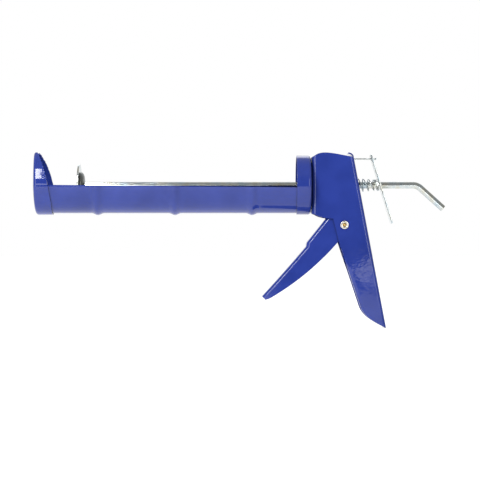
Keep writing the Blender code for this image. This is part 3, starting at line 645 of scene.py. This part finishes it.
def fold_in(shape, edges, way_out, radius, flange=None):
    """Rolls a row of edges round a quarter circle and on into a flange or to the middle."""
    for i in range(FOLD_STEPS):
        start, end = [math.pi / 2 * k / FOLD_STEPS for k in (i, i + 1)]
        edges = grown_edges(shape, edges)
        for vert in {v for e in edges for v in e.verts}:
            out = vert[way_out] * radius
            vert.co.x += out.x * (math.sin(end) - math.sin(start))
            vert.co.z += out.z * (math.sin(end) - math.sin(start))
            vert.co.y += out.y * (math.cos(start) - math.cos(end))
    edges = grown_edges(shape, edges)
    for vert in {v for e in edges for v in e.verts}:
        vert.co.y = 0.0 if flange is None else vert.co.y + flange * vert[way_out].y
    return edges


def mirrored(shape):
    """Adds the other half and turns all faces out."""
    bmesh.ops.remove_doubles(shape, verts=shape.verts, dist=0.05 * MM)
    geom = shape.verts[:] + shape.edges[:] + shape.faces[:]
    bmesh.ops.mirror(shape, geom=geom, axis="Y", merge_dist=0.01 * MM)
    bmesh.ops.recalc_face_normals(shape, faces=shape.faces)
    return shape


print("fold helpers: flat_side, grown_edges, fold_in, mirrored")

# %% [markdown]
# ## Handle
# Head and grip are one sheet wrapped round the spine.  The head's front wall and the spine
# are webs that join both sides.  Down the front of the grip the edge is only turned in, so
# that the hand meets no sharp edge: this lip fades in below the trigger and runs round the
# foot.  At the top of the spine a tongue curls forward.

# %% Handle outline
HANDLE_GAUGE = 1.2 * MM
FRONT_FOLD = 4.2 * MM
SPINE_FOLD = 3.0 * MM
LIP_FLANGE = 1.6 * MM
HEAD_DEPTH = 38.9 * MM
HEAD_TOP_FRONT = 24.9 * MM
HEAD_TOP_REAR = 25.4 * MM
HEAD_BOTTOM_FRONT = 25.9 * MM
HEAD_BOTTOM_REAR = 31.0 * MM
THROAT_DEPTH = 19.9 * MM
KNEE_DROP = 52.8 * MM
FOOT_DROP = 111.7 * MM
SPINE_LEAN = math.radians(10.7)
GRIP_LEAN = math.radians(18.3)
THROAT_LEAN = math.radians(13.9)
LIP_FADE_START = -68.5 * MM
LIP_FADE_END = -80.0 * MM
TIP_SPREAD = 0.26 * MM
grip_tip_z = handle_low.z + TIP_SPREAD
half_handle = handle_high.y
spine_top = (HEAD_FRONT + HEAD_DEPTH, HEAD_TOP_REAR)


def spine_at(z):
    """Where the back of the handle is at a height."""
    return spine_top[0] + (HEAD_TOP_REAR - z) * math.tan(SPINE_LEAN)


def grip_front_at(z):
    """Where the front of the grip is at a height."""
    knee = HEAD_FRONT + THROAT_DEPTH + (KNEE_DROP - HEAD_BOTTOM_REAR) * math.tan(THROAT_LEAN)
    return knee + (-KNEE_DROP - z) * math.tan(GRIP_LEAN)


def set_back(point, out, radius):
    """Moves an outline point in by a fold's radius and keeps its way out."""
    return ((point[0] - out[0] * radius, point[1] - out[2] * radius), out)


def lip_row():
    """The turned-in edge from the grip's knee down and round the foot, with its ways out."""
    foot = (grip_front_at(-FOOT_DROP), -FOOT_DROP)
    tip = (spine_at(grip_tip_z), grip_tip_z)
    bend = (foot[0] + 3.8 * MM, foot[1] - 11.2 * MM)
    straight = [(grip_front_at(z), z) for z in
                [-KNEE_DROP - (FOOT_DROP - KNEE_DROP) * i / 34 for i in range(35)]]
    curve = straight + bezier([foot, bend, tip], 26)[1:-2]
    row = []
    for index, (x, z) in enumerate(curve):
        before = curve[max(0, index - 1)]
        after = curve[min(len(curve) - 1, index + 1)]
        along = Vector((after[0] - before[0], after[1] - before[1])).normalized()
        share = smooth_step(z, LIP_FADE_START, LIP_FADE_END)
        share *= smooth_step(math.hypot(x - tip[0], z - tip[1]), 3.0 * MM, 11.0 * MM)
        share = max(0.01, share)
        row.append(set_back((x, z), (along.y * share, share, -along.x * share), SPINE_FOLD))
    return row


print("grip from", round(grip_front_at(-KNEE_DROP) / MM, 1), "to",
      round(spine_at(grip_tip_z) / MM, 1), "mm")

# %% Handle
TONGUE_REACH = 5.0 * MM
TONGUE_RISE = 4.2 * MM
ROD_HOLE = 4.7 * MM
RIVET_HOLE = 2.8 * MM
WALL_DRILL = 12 * MM
STRIP_SLOT = (8 * MM, 6.6 * MM, 1.8 * MM)


def handle_half():
    """One side of the handle with its folds."""
    shape = bmesh.new()
    way_out = shape.verts.layers.float_vector.new("way_out")
    level = (0.0, 0.0, 0.0)
    top_out = (-1.0, 1.0, -0.61)
    bottom_out = (-1.0, 1.0, 0.4)
    spine_top_out = (1.05, 1.0, -0.18)
    spine_tip_out = (1.10, 1.0, -0.44)
    front_top = set_back((HEAD_FRONT, HEAD_TOP_FRONT), top_out, FRONT_FOLD)
    front_bottom = set_back((HEAD_FRONT, -HEAD_BOTTOM_FRONT), bottom_out, FRONT_FOLD)
    rear_top = set_back(spine_top, spine_top_out, SPINE_FOLD)
    tip = set_back((spine_at(grip_tip_z), grip_tip_z), spine_tip_out, SPINE_FOLD)
    crown = bezier([front_top[0], (HEAD_FRONT + 0.28 * HEAD_DEPTH, HEAD_TOP_FRONT + 6.7 * MM),
                    (HEAD_FRONT + 0.56 * HEAD_DEPTH, HEAD_TOP_REAR + 3.0 * MM), rear_top[0]], 24)
    throat = (HEAD_FRONT + THROAT_DEPTH, -HEAD_BOTTOM_REAR)
    belly = (HEAD_FRONT + 0.45 * THROAT_DEPTH, -HEAD_BOTTOM_REAR + 0.4 * MM)
    under = bezier([throat, belly, front_bottom[0]], 10)
    edges = flat_side(shape, [
        ("front", [front_bottom, front_top]),
        ("crown", [(p, level) for p in crown[1:-1]]),
        ("spine", [rear_top, tip]),
        ("lip", lip_row()[::-1]),
        ("under", [(p, level) for p in under[:-1]]),
    ], -half_handle, way_out)
    fold_in(shape, edges["front"], way_out, FRONT_FOLD)
    fold_in(shape, edges["spine"], way_out, SPINE_FOLD)
    fold_in(shape, edges["lip"], way_out, SPINE_FOLD, LIP_FLANGE)
    return shape


def curl_tongue(shape):
    """Draws the spine's top edge up and forward into a tongue."""
    rear = spine_top[0] - 0.2 * MM
    row = [e for e in shape.edges if e.is_boundary
           and abs(e.verts[0].co.y - e.verts[1].co.y) > 2 * MM
           and all(v.co.x > rear and v.co.z > HEAD_TOP_REAR - 2 * MM for v in e.verts)]
    steps = 8
    for i in range(steps):
        row = grown_edges(shape, row)
        turn = math.pi / 2 * (i + 0.5) / steps
        forward = TONGUE_REACH / steps * math.pi / 2 * math.sin(turn)
        up = TONGUE_RISE / steps * math.pi / 2 * math.cos(turn)
        verts = list({v for e in row for v in e.verts})
        bmesh.ops.translate(shape, vec=(-forward, 0, up), verts=verts)


def handle():
    shape = mirrored(handle_half())
    curl_tongue(shape)
    facing_out(shape, Vector((HEAD_FRONT + HEAD_DEPTH / 2, 0, 0)))
    item = with_wall(as_object("handle_shell", shape), HANDLE_GAUGE)
    drilled(item, (spine_at(0), 0, 0), "Y", ROD_HOLE, WALL_DRILL)
    drilled(item, (HEAD_FRONT, 0, 0), "Y", BUSH_TUBE + BUSH_PLAY, WALL_DRILL)
    drilled(item, PIVOT, "X", RIVET_HOLE, 2.5 * half_handle)
    slot = bmesh.new()
    where = Matrix.Translation((spine_at(HINGE.z), 0, HINGE.z))
    bmesh.ops.create_cube(slot, size=1.0, matrix=where @ Matrix.Diagonal(STRIP_SLOT + (1,)))
    cut(item, slot)
    return soften_edges(item, 0.2 * MM, 48.0)


register(handle(), "frame", ["handle"], handle_enamel)

# %% [markdown]
# ## Trigger
# The trigger is a folded channel, open to the back.  Its front web is rounded over a wider
# radius than the handle's spine, because fingers pull on it, and it steps out by a
# millimetre where it leaves the handle.  Two ears go up inside the head: they turn on the
# rivet and end in the rounded nose that pushes the drive plates.

# %% Trigger
TRIGGER_GAUGE = 1.2 * MM
TRIGGER_FOLD = 3.4 * MM
NOSE_ARM = 15.0 * MM
NOSE_RADIUS = 3.0 * MM
NOSE_TILT = math.radians(15.0)
BOSS_RADIUS = 9.5 * MM
half_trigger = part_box("trigger")[1].y


def trigger_front():
    """The front of the channel from its tip to its top, with its ways out."""
    tip = (-75.3 * MM, -65.4 * MM)
    step_low = (-35.2 * MM, -20.1 * MM)
    wrist = (-33.9 * MM, -15.6 * MM)
    top = (-13.7 * MM, 9.7 * MM)
    hollow = (0.5 * (tip[0] + step_low[0]) + 0.5 * MM, 0.5 * (tip[1] + step_low[1]) - 0.4 * MM)
    lower = bezier([tip, hollow, step_low], 16)
    step = bezier([step_low, (-34.5 * MM, -19.0 * MM), (-34.9 * MM, -16.9 * MM), wrist], 6)[1:-1]
    upper = [(wrist[0] + (top[0] - wrist[0]) * i / 12, wrist[1] + (top[1] - wrist[1]) * i / 12)
             for i in range(13)]
    curve = lower + step + upper
    row = []
    for index, point in enumerate(curve):
        before = curve[max(0, index - 2)]
        after = curve[min(len(curve) - 1, index + 2)]
        along = Vector((after[0] - before[0], after[1] - before[1])).normalized()
        row.append(set_back(point, (-along.y, 1.0, along.x), TRIGGER_FOLD))
    return row


def trigger_half():
    """One side of the trigger with its front fold."""
    shape = bmesh.new()
    way_out = shape.verts.layers.float_vector.new("way_out")
    nose = (NOSE_ARM * math.sin(NOSE_TILT), NOSE_ARM * math.cos(NOSE_TILT))
    heel = (-6.2 * MM, -16.1 * MM)
    tip_rear = (-67.3 * MM, -66.8 * MM)
    belly = (0.5 * (heel[0] + tip_rear[0]) + 4.2 * MM, 0.5 * (heel[1] + tip_rear[1]) - 5.0 * MM)
    ears = arc((0, 0), BOSS_RADIUS, 115, 78, 6) + arc(nose, NOSE_RADIUS, 215, -15, 16)
    ears += arc((0, 0), BOSS_RADIUS, 10, -60, 8)
    rear = bezier([heel, belly, tip_rear], 24)
    toe = bezier([tip_rear, (-70.0 * MM, -68.2 * MM), (-72.6 * MM, -68.4 * MM)], 5)[1:]
    level = (0.0, 0.0, 0.0)
    edges = flat_side(shape, [
        ("front", trigger_front()),
        ("ears", [(p, level) for p in ears]),
        ("rear", [(p, level) for p in rear + toe]),
    ], -half_trigger, way_out)
    fold_in(shape, edges["front"], way_out, TRIGGER_FOLD)
    return shape


def trigger():
    shape = mirrored(trigger_half())
    bmesh.ops.translate(shape, vec=PIVOT, verts=shape.verts)
    facing_out(shape, PIVOT + Vector((-30 * MM, 0, -30 * MM)))
    item = with_wall(as_object("trigger_channel", shape), TRIGGER_GAUGE)
    drilled(item, PIVOT, "X", RIVET_HOLE, 3 * half_trigger)
    return soften_edges(item, 0.2 * MM, 48.0)


register(trigger(), "trigger_lever", ["trigger"], handle_enamel)

# %% [markdown]
# ## Pivot rivet
# A semi-tubular rivet has a pressed head on one side and a hollow end on the other, which
# is rolled outwards into a ring.  It is one closed section spun about its own middle line
# and then turned to lie across the handle.

# %% Pivot rivet
RIVET_BODY = 2.5 * MM
RIVET_BORE = 1.7 * MM
RIVET_HEAD = 3.75 * MM
RIVET_LIFT = 1.1 * MM


def pivot_rivet():
    half = rivet_high.y - RIVET_LIFT
    end = rivet_high.y
    outline = [(-end, 0.0), (-end, RIVET_HEAD - 1.0 * MM)]
    outline += arc((0.6 * MM - end, RIVET_HEAD - 0.6 * MM), 0.6 * MM, 170, 90, 5)
    outline += [(-half, RIVET_HEAD), (-half, RIVET_BODY), (half, RIVET_BODY), (half, RIVET_HEAD)]
    outline += arc((end - 0.5 * MM, RIVET_HEAD - 0.5 * MM), 0.5 * MM, 90, 0, 5)
    outline += arc((end - 0.5 * MM, RIVET_BORE + 0.5 * MM), 0.5 * MM, 0, -90, 5)
    outline += [(end - 1.6 * MM, RIVET_BORE), (end - 2.3 * MM, 0.55 * RIVET_BORE), (end - 2.6 * MM, 0.0)]
    shape = spun(outline, steps=48)
    place = Matrix.Translation(PIVOT) @ Matrix.Rotation(-math.pi / 2, 4, "Z")
    bmesh.ops.transform(shape, matrix=place, verts=shape.verts)
    return soften_edges(as_object("rolled_rivet", shape), 0.08 * MM, 60.0)


register(pivot_rivet(), "frame", ["pivot_rivet"], rivet_nickel)

# %% [markdown]
# ## Plunger rod
# The rod is drawn six-sided bar with its corners just broken by the die.  A six-sided face
# with bevelled corners is drawn out along the barrel, spun through the bend at the back
# and drawn out again into the hook.  A turned spigot in front is peened over the disc.

# %% Plunger rod
ACROSS_FLATS = 6.0 * MM
CORNER_BREAK = 0.55 * MM
END_BREAK = 0.7 * MM
ROD_TURN = math.radians(10.0)
BEND_BEHIND_HEAD_FRONT = 93.7 * MM
BEND_RADIUS = 11.0 * MM
BEND_ANGLE = math.radians(42.0)
ROD_TAIL = 28.1 * MM
SPIGOT_RADIUS = 2.4 * MM
PEEN_RADIUS = 4.2 * MM
PEEN_DEPTH = 1.0 * MM
bend_start = HEAD_FRONT + BEND_BEHIND_HEAD_FRONT
bar_front = cup_high.x + 0.3 * MM


def drawn_out(shape, face, move):
    """Draws a face out along a straight line and gives the new end face."""
    grown = bmesh.ops.extrude_face_region(shape, geom=[face])
    verts = [g for g in grown["geom"] if isinstance(g, bmesh.types.BMVert)]
    bmesh.ops.translate(shape, vec=move, verts=verts)
    return next(g for g in grown["geom"] if isinstance(g, bmesh.types.BMFace))


def plunger_rod():
    shape = bmesh.new()
    start = Matrix.Translation((bar_front, 0, 0)) @ Matrix.Rotation(math.pi / 2, 4, "Y")
    bmesh.ops.create_circle(shape, cap_ends=True, segments=6, radius=ACROSS_FLATS / math.sqrt(3),
                            matrix=start @ Matrix.Rotation(ROD_TURN, 4, "Z"))
    bmesh.ops.bevel(shape, geom=shape.verts[:], offset=CORNER_BREAK, segments=3, profile=0.5,
                    affect="VERTICES", material=-1)
    front = max(shape.faces, key=lambda f: f.calc_area())
    straight = drawn_out(shape, front, (bend_start - bar_front, 0, 0))
    turned = bmesh.ops.spin(shape, geom=[straight], cent=(bend_start, 0, -BEND_RADIUS),
                            axis=(0, 1, 0), angle=BEND_ANGLE, steps=20)
    bmesh.ops.delete(shape, geom=[straight], context="FACES_ONLY")
    bent = next(g for g in turned["geom_last"] if isinstance(g, bmesh.types.BMFace))
    tail = ROD_TAIL * Vector((math.cos(BEND_ANGLE), 0, -math.sin(BEND_ANGLE)))
    end = drawn_out(shape, bent, tail)
    bmesh.ops.delete(shape, geom=[bent], context="FACES_ONLY")
    bmesh.ops.bevel(shape, geom=list(end.edges), offset=END_BREAK, segments=3, profile=0.5,
                    affect="EDGES", material=-1)
    bmesh.ops.remove_doubles(shape, verts=shape.verts, dist=0.002 * MM)
    bmesh.ops.recalc_face_normals(shape, faces=shape.faces)
    item = as_object("six_sided_rod", shape)
    item.modifiers.new("flats", "WEIGHTED_NORMAL")
    return item


register(plunger_rod(), "plunger", ["plunger_rod"], rod_zinc)

# %% [markdown]
# The spigot is turned on the lathe, so it is spun.  Its peened end is a low dome.

# %% Rod spigot
def rod_spigot():
    outline = [(bar_front + 1.5 * MM, 0.0), (bar_front + 1.5 * MM, SPIGOT_RADIUS),
               (PEEN_DEPTH, SPIGOT_RADIUS), (PEEN_DEPTH, PEEN_RADIUS)]
    outline += [(0.12 * MM, PEEN_RADIUS - 0.5 * MM), (0.0, PEEN_RADIUS - 1.1 * MM), (0.0, 0.0)]
    return soften_edges(as_object("peened_spigot", spun(outline, steps=48)), 0.12 * MM, 50.0)


spigot = rod_spigot()
spigot.data.materials.append(rod_zinc)
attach(spigot, "plunger")
print("spigot:", len(spigot.data.polygons), "faces")

# %% [markdown]
# ## Plunger disc and cup
# The disc is stamped and slightly dished, and pushes the plug in the cartridge.  The cup
# behind it is a pressed washer that keeps it square to the rod.

# %% Plunger disc and cup
def piston_disc():
    outline = rounded_ring(disc_low.x, disc_high.x, SPIGOT_RADIUS + 0.3 * MM, disc_high.y, 0.35 * MM)
    item = as_object("stamped_disc", spun(outline, steps=128, closed=True))
    item.modifiers.new("flats", "WEIGHTED_NORMAL")
    return item


def piston_cup():
    front, rear, outside = cup_low.x, cup_high.x, cup_high.y
    wall = 1.0 * MM
    flat = 0.55 * outside
    bore = SPIGOT_RADIUS + 0.3 * MM
    slope = bezier([(rear, flat), (rear - 0.3 * MM, 0.9 * outside), (front + wall, outside)], 10)
    inner = bezier([(front, outside - wall), (rear - 1.3 * MM, 0.9 * outside - wall),
                    (rear - wall, flat - 0.3 * wall)], 10)
    outline = [(rear, bore)] + slope + [(front, outside)] + inner + [(rear - wall, bore)]
    return soften_edges(as_object("pressed_cup", spun(outline, steps=96, closed=True)), 0.12 * MM, 60.0)


register(piston_disc(), "plunger", ["piston_disc"], plate_zinc)
register(piston_cup(), "plunger", ["piston_cup"], cup_zinc)

# %% [markdown]
# ## Stamped and turned small parts
# The plates, the strip, the bush and the washer already have the right shape in the frame.
# A copy of each node's mesh is merged, its flat faces are joined up again, and its edges
# are rounded as tumbling rounds a stamping.

# %% Small parts
def tumbled_copy(node, name, edge):
    """A copy of a frame node with merged vertices, joined flats and rounded edges."""
    shape = bmesh.new()
    shape.from_mesh(frame["nodes"][node].data)
    bmesh.ops.remove_doubles(shape, verts=shape.verts, dist=0.002 * MM)
    bmesh.ops.dissolve_limit(shape, angle_limit=math.radians(1.0), verts=shape.verts,
                             edges=shape.edges)
    return soften_edges(as_object(name, shape), edge, 40.0)


SMALL_PARTS = [
    ("barrel_bush", "swaged_bush", 0.15 * MM, "frame", plate_zinc),
    ("head_plate", "stiffening_plate", 0.2 * MM, "frame", plate_zinc),
    ("release_strip", "hooked_strip", 0.15 * MM, "frame", plate_zinc),
    ("drive_plate_front", "front_drive_plate", 0.2 * MM, "drive", plate_zinc),
    ("drive_plate_rear", "rear_drive_plate", 0.2 * MM, "drive", plate_zinc),
    ("spring_washer", "flat_washer", 0.15 * MM, "drive", plate_zinc),
    ("release_plate", "thumb_plate", 0.25 * MM, "release", plate_zinc),
]
for node, name, edge, body, finish in SMALL_PARTS:
    register(tumbled_copy(node, name, edge), body, [node], finish)

# %% [markdown]
# ## Springs
# A spring is a round wire wound at a changing pitch: its end turns lie close together.  A
# spin with a step along the axis winds a helix, so each stretch of a spring is one spin that
# goes on from the last ring of the one before.  The release spring is then drawn in
# towards the plate and leaned at both ends to lie on the slanting spine and plate.

# %% Winding wire
def wound(wire, radius, front, stretches, steps=28):
    """Winds a wire about the barrel's middle; each stretch is (turns, advance)."""
    shape = bmesh.new()
    ring = Matrix.Translation((front, 0, radius)) @ Matrix.Rotation(math.pi / 2, 4, "X")
    bmesh.ops.create_circle(shape, cap_ends=True, segments=12, radius=wire / 2, matrix=ring)
    geom = shape.verts[:] + shape.edges[:] + shape.faces[:]
    for turns, advance in stretches:
        count = round(turns * steps)
        grown = bmesh.ops.spin(shape, geom=geom, cent=(0, 0, 0), axis=(1, 0, 0),
                               dvec=(advance / count, 0, 0), angle=2 * math.pi * turns, steps=count)
        geom = grown["geom_last"]
    open_ends = [e for e in shape.edges if e.is_boundary]
    bmesh.ops.holes_fill(shape, edges=open_ends, sides=16)
    bmesh.ops.recalc_face_normals(shape, faces=shape.faces)
    return shape


DRIVE_WIRE = 1.3 * MM
DRIVE_RADIUS = 6.2 * MM
drive_low, drive_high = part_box("drive_spring")
spring_front = drive_low.x + DRIVE_WIRE / 2
spring_rear = drive_high.x - DRIVE_WIRE / 2
close = 1.05 * DRIVE_WIRE
drive_coil = as_object("drive_coil", wound(DRIVE_WIRE, DRIVE_RADIUS, spring_front, [
    (1, close), (4, spring_rear - spring_front - 2 * close), (1, close)]))
register(drive_coil, "frame", ["drive_spring"], wire_zinc)
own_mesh(drive_coil)

# %% Release spring
RELEASE_WIRE = 1.0 * MM
RELEASE_LARGE = 6.0 * MM
RELEASE_SMALL = 4.9 * MM
RELEASE_LEAN = math.radians(17.2)
CLOSE_TURNS = 2
OPEN_TURNS = 3
release_low, release_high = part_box("release_spring")
release_front = release_low.x + RELEASE_WIRE / 2 + RELEASE_LARGE * math.tan(SPINE_LEAN)
release_rear = release_high.x - RELEASE_WIRE / 2 - RELEASE_SMALL * math.tan(RELEASE_LEAN)


def release_coil():
    """A conical spring whose ends lie on the leaning spine and the leaning plate."""
    length = release_rear - release_front
    tight = CLOSE_TURNS * 1.25 * RELEASE_WIRE
    shape = wound(RELEASE_WIRE, RELEASE_LARGE, release_front,
                  [(OPEN_TURNS, length - tight), (CLOSE_TURNS, tight)])
    for vert in shape.verts:
        way = min(1.0, max(0.0, (vert.co.x - release_front) / length))
        drawn_in = 1 + (RELEASE_SMALL / RELEASE_LARGE - 1) * way
        vert.co.y *= drawn_in
        vert.co.z *= drawn_in
        vert.co.x -= vert.co.z * math.tan(SPINE_LEAN + (RELEASE_LEAN - SPINE_LEAN) * way)
    return as_object("release_coil", shape)


coil = register(release_coil(), "frame", ["release_spring"], wire_zinc)
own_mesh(coil)

# %% [markdown]
# ## Camera, light and floor
# A long lens from 1.6 metres away looks level at the gun's side, so the barrel's
# rims are seen as thin ellipses.  The room is white behind the gun.  What the glossy enamel
# mirrors is kept separate from what is seen behind it: darker straight ahead and brighter to
# both sides, which draws thin bright lines along the folds.  The floor glows a little, so
# that it is as white as the room.

# %% Camera
FOCAL_LENGTH = 132.75
CAMERA_DISTANCE = 1630 * MM
camera = bpy.data.objects.new("camera", bpy.data.cameras.new("camera"))
camera.data.lens = FOCAL_LENGTH
camera.data.sensor_width = 36.0
camera.data.clip_start = 0.05
camera.location = (150.0 * MM, -CAMERA_DISTANCE, -50.5 * MM)
camera.rotation_euler = (math.pi / 2, 0.0, 0.0)
bpy.context.collection.objects.link(camera)
bpy.context.scene.camera = camera
print("camera at", [round(v / MM, 1) for v in camera.location], "mm")

# %% Floor
FLOOR_DROP = 0.4 * MM
FLOOR_FRONT = -1.1
FLOOR_HALF = 4.0
FLOOR_GLOW = 0.86


def pale_floor():
    """A wide sheet of lit white acrylic just below the tip of the grip."""
    shape = bmesh.new()
    middle = (CAD_BOX[0].x + CAD_BOX[1].x) / 2
    where = Matrix.Translation((middle, FLOOR_FRONT + FLOOR_HALF, CAD_BOX[0].z - FLOOR_DROP))
    bmesh.ops.create_grid(shape, x_segments=1, y_segments=1, size=FLOOR_HALF, matrix=where)
    floor = as_object("floor", shape)
    material, tree, shader, where = new_finish("lit_white_acrylic")
    tone = remapped(tree, noise(tree, where, 6.0, 2.0), (0.0, 1.0), (0.4, 0.44))
    tree.links.new(tone, shader.inputs["Base Color"])
    shader.inputs["Roughness"].default_value = 0.8
    shader.inputs["Emission Color"].default_value = (1.0, 1.0, 1.0, 1.0)
    shader.inputs["Emission Strength"].default_value = FLOOR_GLOW
    floor.data.materials.append(material)
    return floor


pale_floor()
print("floor at", round((CAD_BOX[0].z - FLOOR_DROP) / MM, 1), "mm")

# %% [markdown]
# Four softboxes and a strip do the work.  A high one over the front half draws the bright
# patch on the cap and the light band on the rod.  Two upright ones and the strip beside the
# camera draw the thin lines along the folds, and one behind lights the far side.  Two small
# panes low at the front leave a pale mark on the grip.  Each is given by its place, the point
# it is aimed at, its width and height, and its brightness, from which its power follows.

# %% Softboxes
BOX_BRIGHTNESS = 20.0
SIDE_BRIGHTNESS = 3.4
REAR_BRIGHTNESS = 1.5
PANE_BRIGHTNESS = 3.0
PANE_TURN = math.radians(-36.0)


def softbox(name, centre, aim, width, height, brightness):
    """A rectangular light of an even brightness, aimed at a point."""
    light = bpy.data.objects.new(name, bpy.data.lights.new(name, "AREA"))
    light.data.shape = "RECTANGLE"
    light.data.size = width
    light.data.size_y = height
    light.data.energy = brightness * math.pi * width * height
    light.location = centre
    away = Vector(centre) - Vector(aim)
    light.rotation_euler = away.to_track_quat("Z", "Y").to_euler()
    bpy.context.collection.objects.link(light)
    return light


SOFTBOXES = [
    ("high_box", (-0.26, -0.77, 0.56), (-0.26, 0.0, 0.0), 0.25, 0.5, BOX_BRIGHTNESS),
    ("left_box", (-0.53, -1.4, 0.18), (0.2, 0.0, 0.0), 0.5, 0.75, SIDE_BRIGHTNESS),
    ("fold_strip", (-0.135, -1.4, 0.04), (-0.135, 0.0, 0.04), 0.31, 0.13, SIDE_BRIGHTNESS),
    ("right_box", (0.73, -1.4, 0.25), (0.25, 0.0, 0.0), 0.6, 0.72, SIDE_BRIGHTNESS),
    ("rear_box", (0.1, 1.4, 1.1), (0.1, 0.0, 0.0), 1.0, 0.8, REAR_BRIGHTNESS),
    ("upper_pane", (0.366, -1.4, -0.098), (0.366, 0.0, -0.098), 0.021, 0.019, PANE_BRIGHTNESS),
    ("lower_pane", (0.361, -1.4, -0.117), (0.361, 0.0, -0.117), 0.040, 0.012, PANE_BRIGHTNESS),
]
lights = {row[0]: softbox(*row) for row in SOFTBOXES}
lights["lower_pane"].rotation_euler.rotate_axis("Z", PANE_TURN)
print("lights:", ", ".join(lights))

# %% [markdown]
# The room's light depends on the angle from the direction of the camera: it is dark around
# the camera, lighter to the sides and white behind the gun.  Looked at directly it is plain
# white.

# %% Room
WHITE = (1.0, 1.0, 1.0, 1.0)
ROOM_STOPS = [(0, 0.04), (9, 0.06), (30, 0.16), (40, 0.34), (80, 0.34), (120, 0.6), (150, 1.0)]


def studio_room():
    """White to look at; as light, dark towards the camera and white behind the gun."""
    world = bpy.data.worlds.new("studio")
    bpy.context.scene.world = world
    world.use_nodes = True
    tree = world.node_tree
    direction = add_node(tree, "ShaderNodeTexCoord").outputs["Generated"]
    parts = add_node(tree, "ShaderNodeSeparateXYZ", links={"Vector": direction})
    forward = add_node(tree, "ShaderNodeMath", {1: -1.0}, {0: parts.outputs["Y"]},
                       operation="MULTIPLY")
    angle = add_node(tree, "ShaderNodeMath", links={0: forward.outputs["Value"]},
                     operation="ARCCOSINE")
    share = add_node(tree, "ShaderNodeMath", {1: math.pi}, {0: angle.outputs["Value"]},
                     operation="DIVIDE")
    ramp = add_node(tree, "ShaderNodeValToRGB", links={"Fac": share.outputs["Value"]})
    stops = ramp.color_ramp.elements
    stops.remove(stops[1])
    for index, (degrees, level) in enumerate(ROOM_STOPS):
        stop = stops[0] if index == 0 else stops.new(degrees / 180)
        stop.position = degrees / 180
        stop.color = (level, level, level, 1.0)
    seen = add_node(tree, "ShaderNodeLightPath").outputs["Is Camera Ray"]
    shade = add_node(tree, "ShaderNodeMixRGB", {"Color2": WHITE},
                     {"Fac": seen, "Color1": ramp.outputs["Color"]})
    tree.links.new(shade.outputs["Color"], tree.nodes["Background"].inputs["Color"])


studio_room()
bpy.context.scene.view_settings.view_transform = "Standard"
print("room:", len(ROOM_STOPS), "stops")

# %% Sizes of the frame
print("cad", [[round(c / MM, 1) for c in v] for v in CAD_BOX])
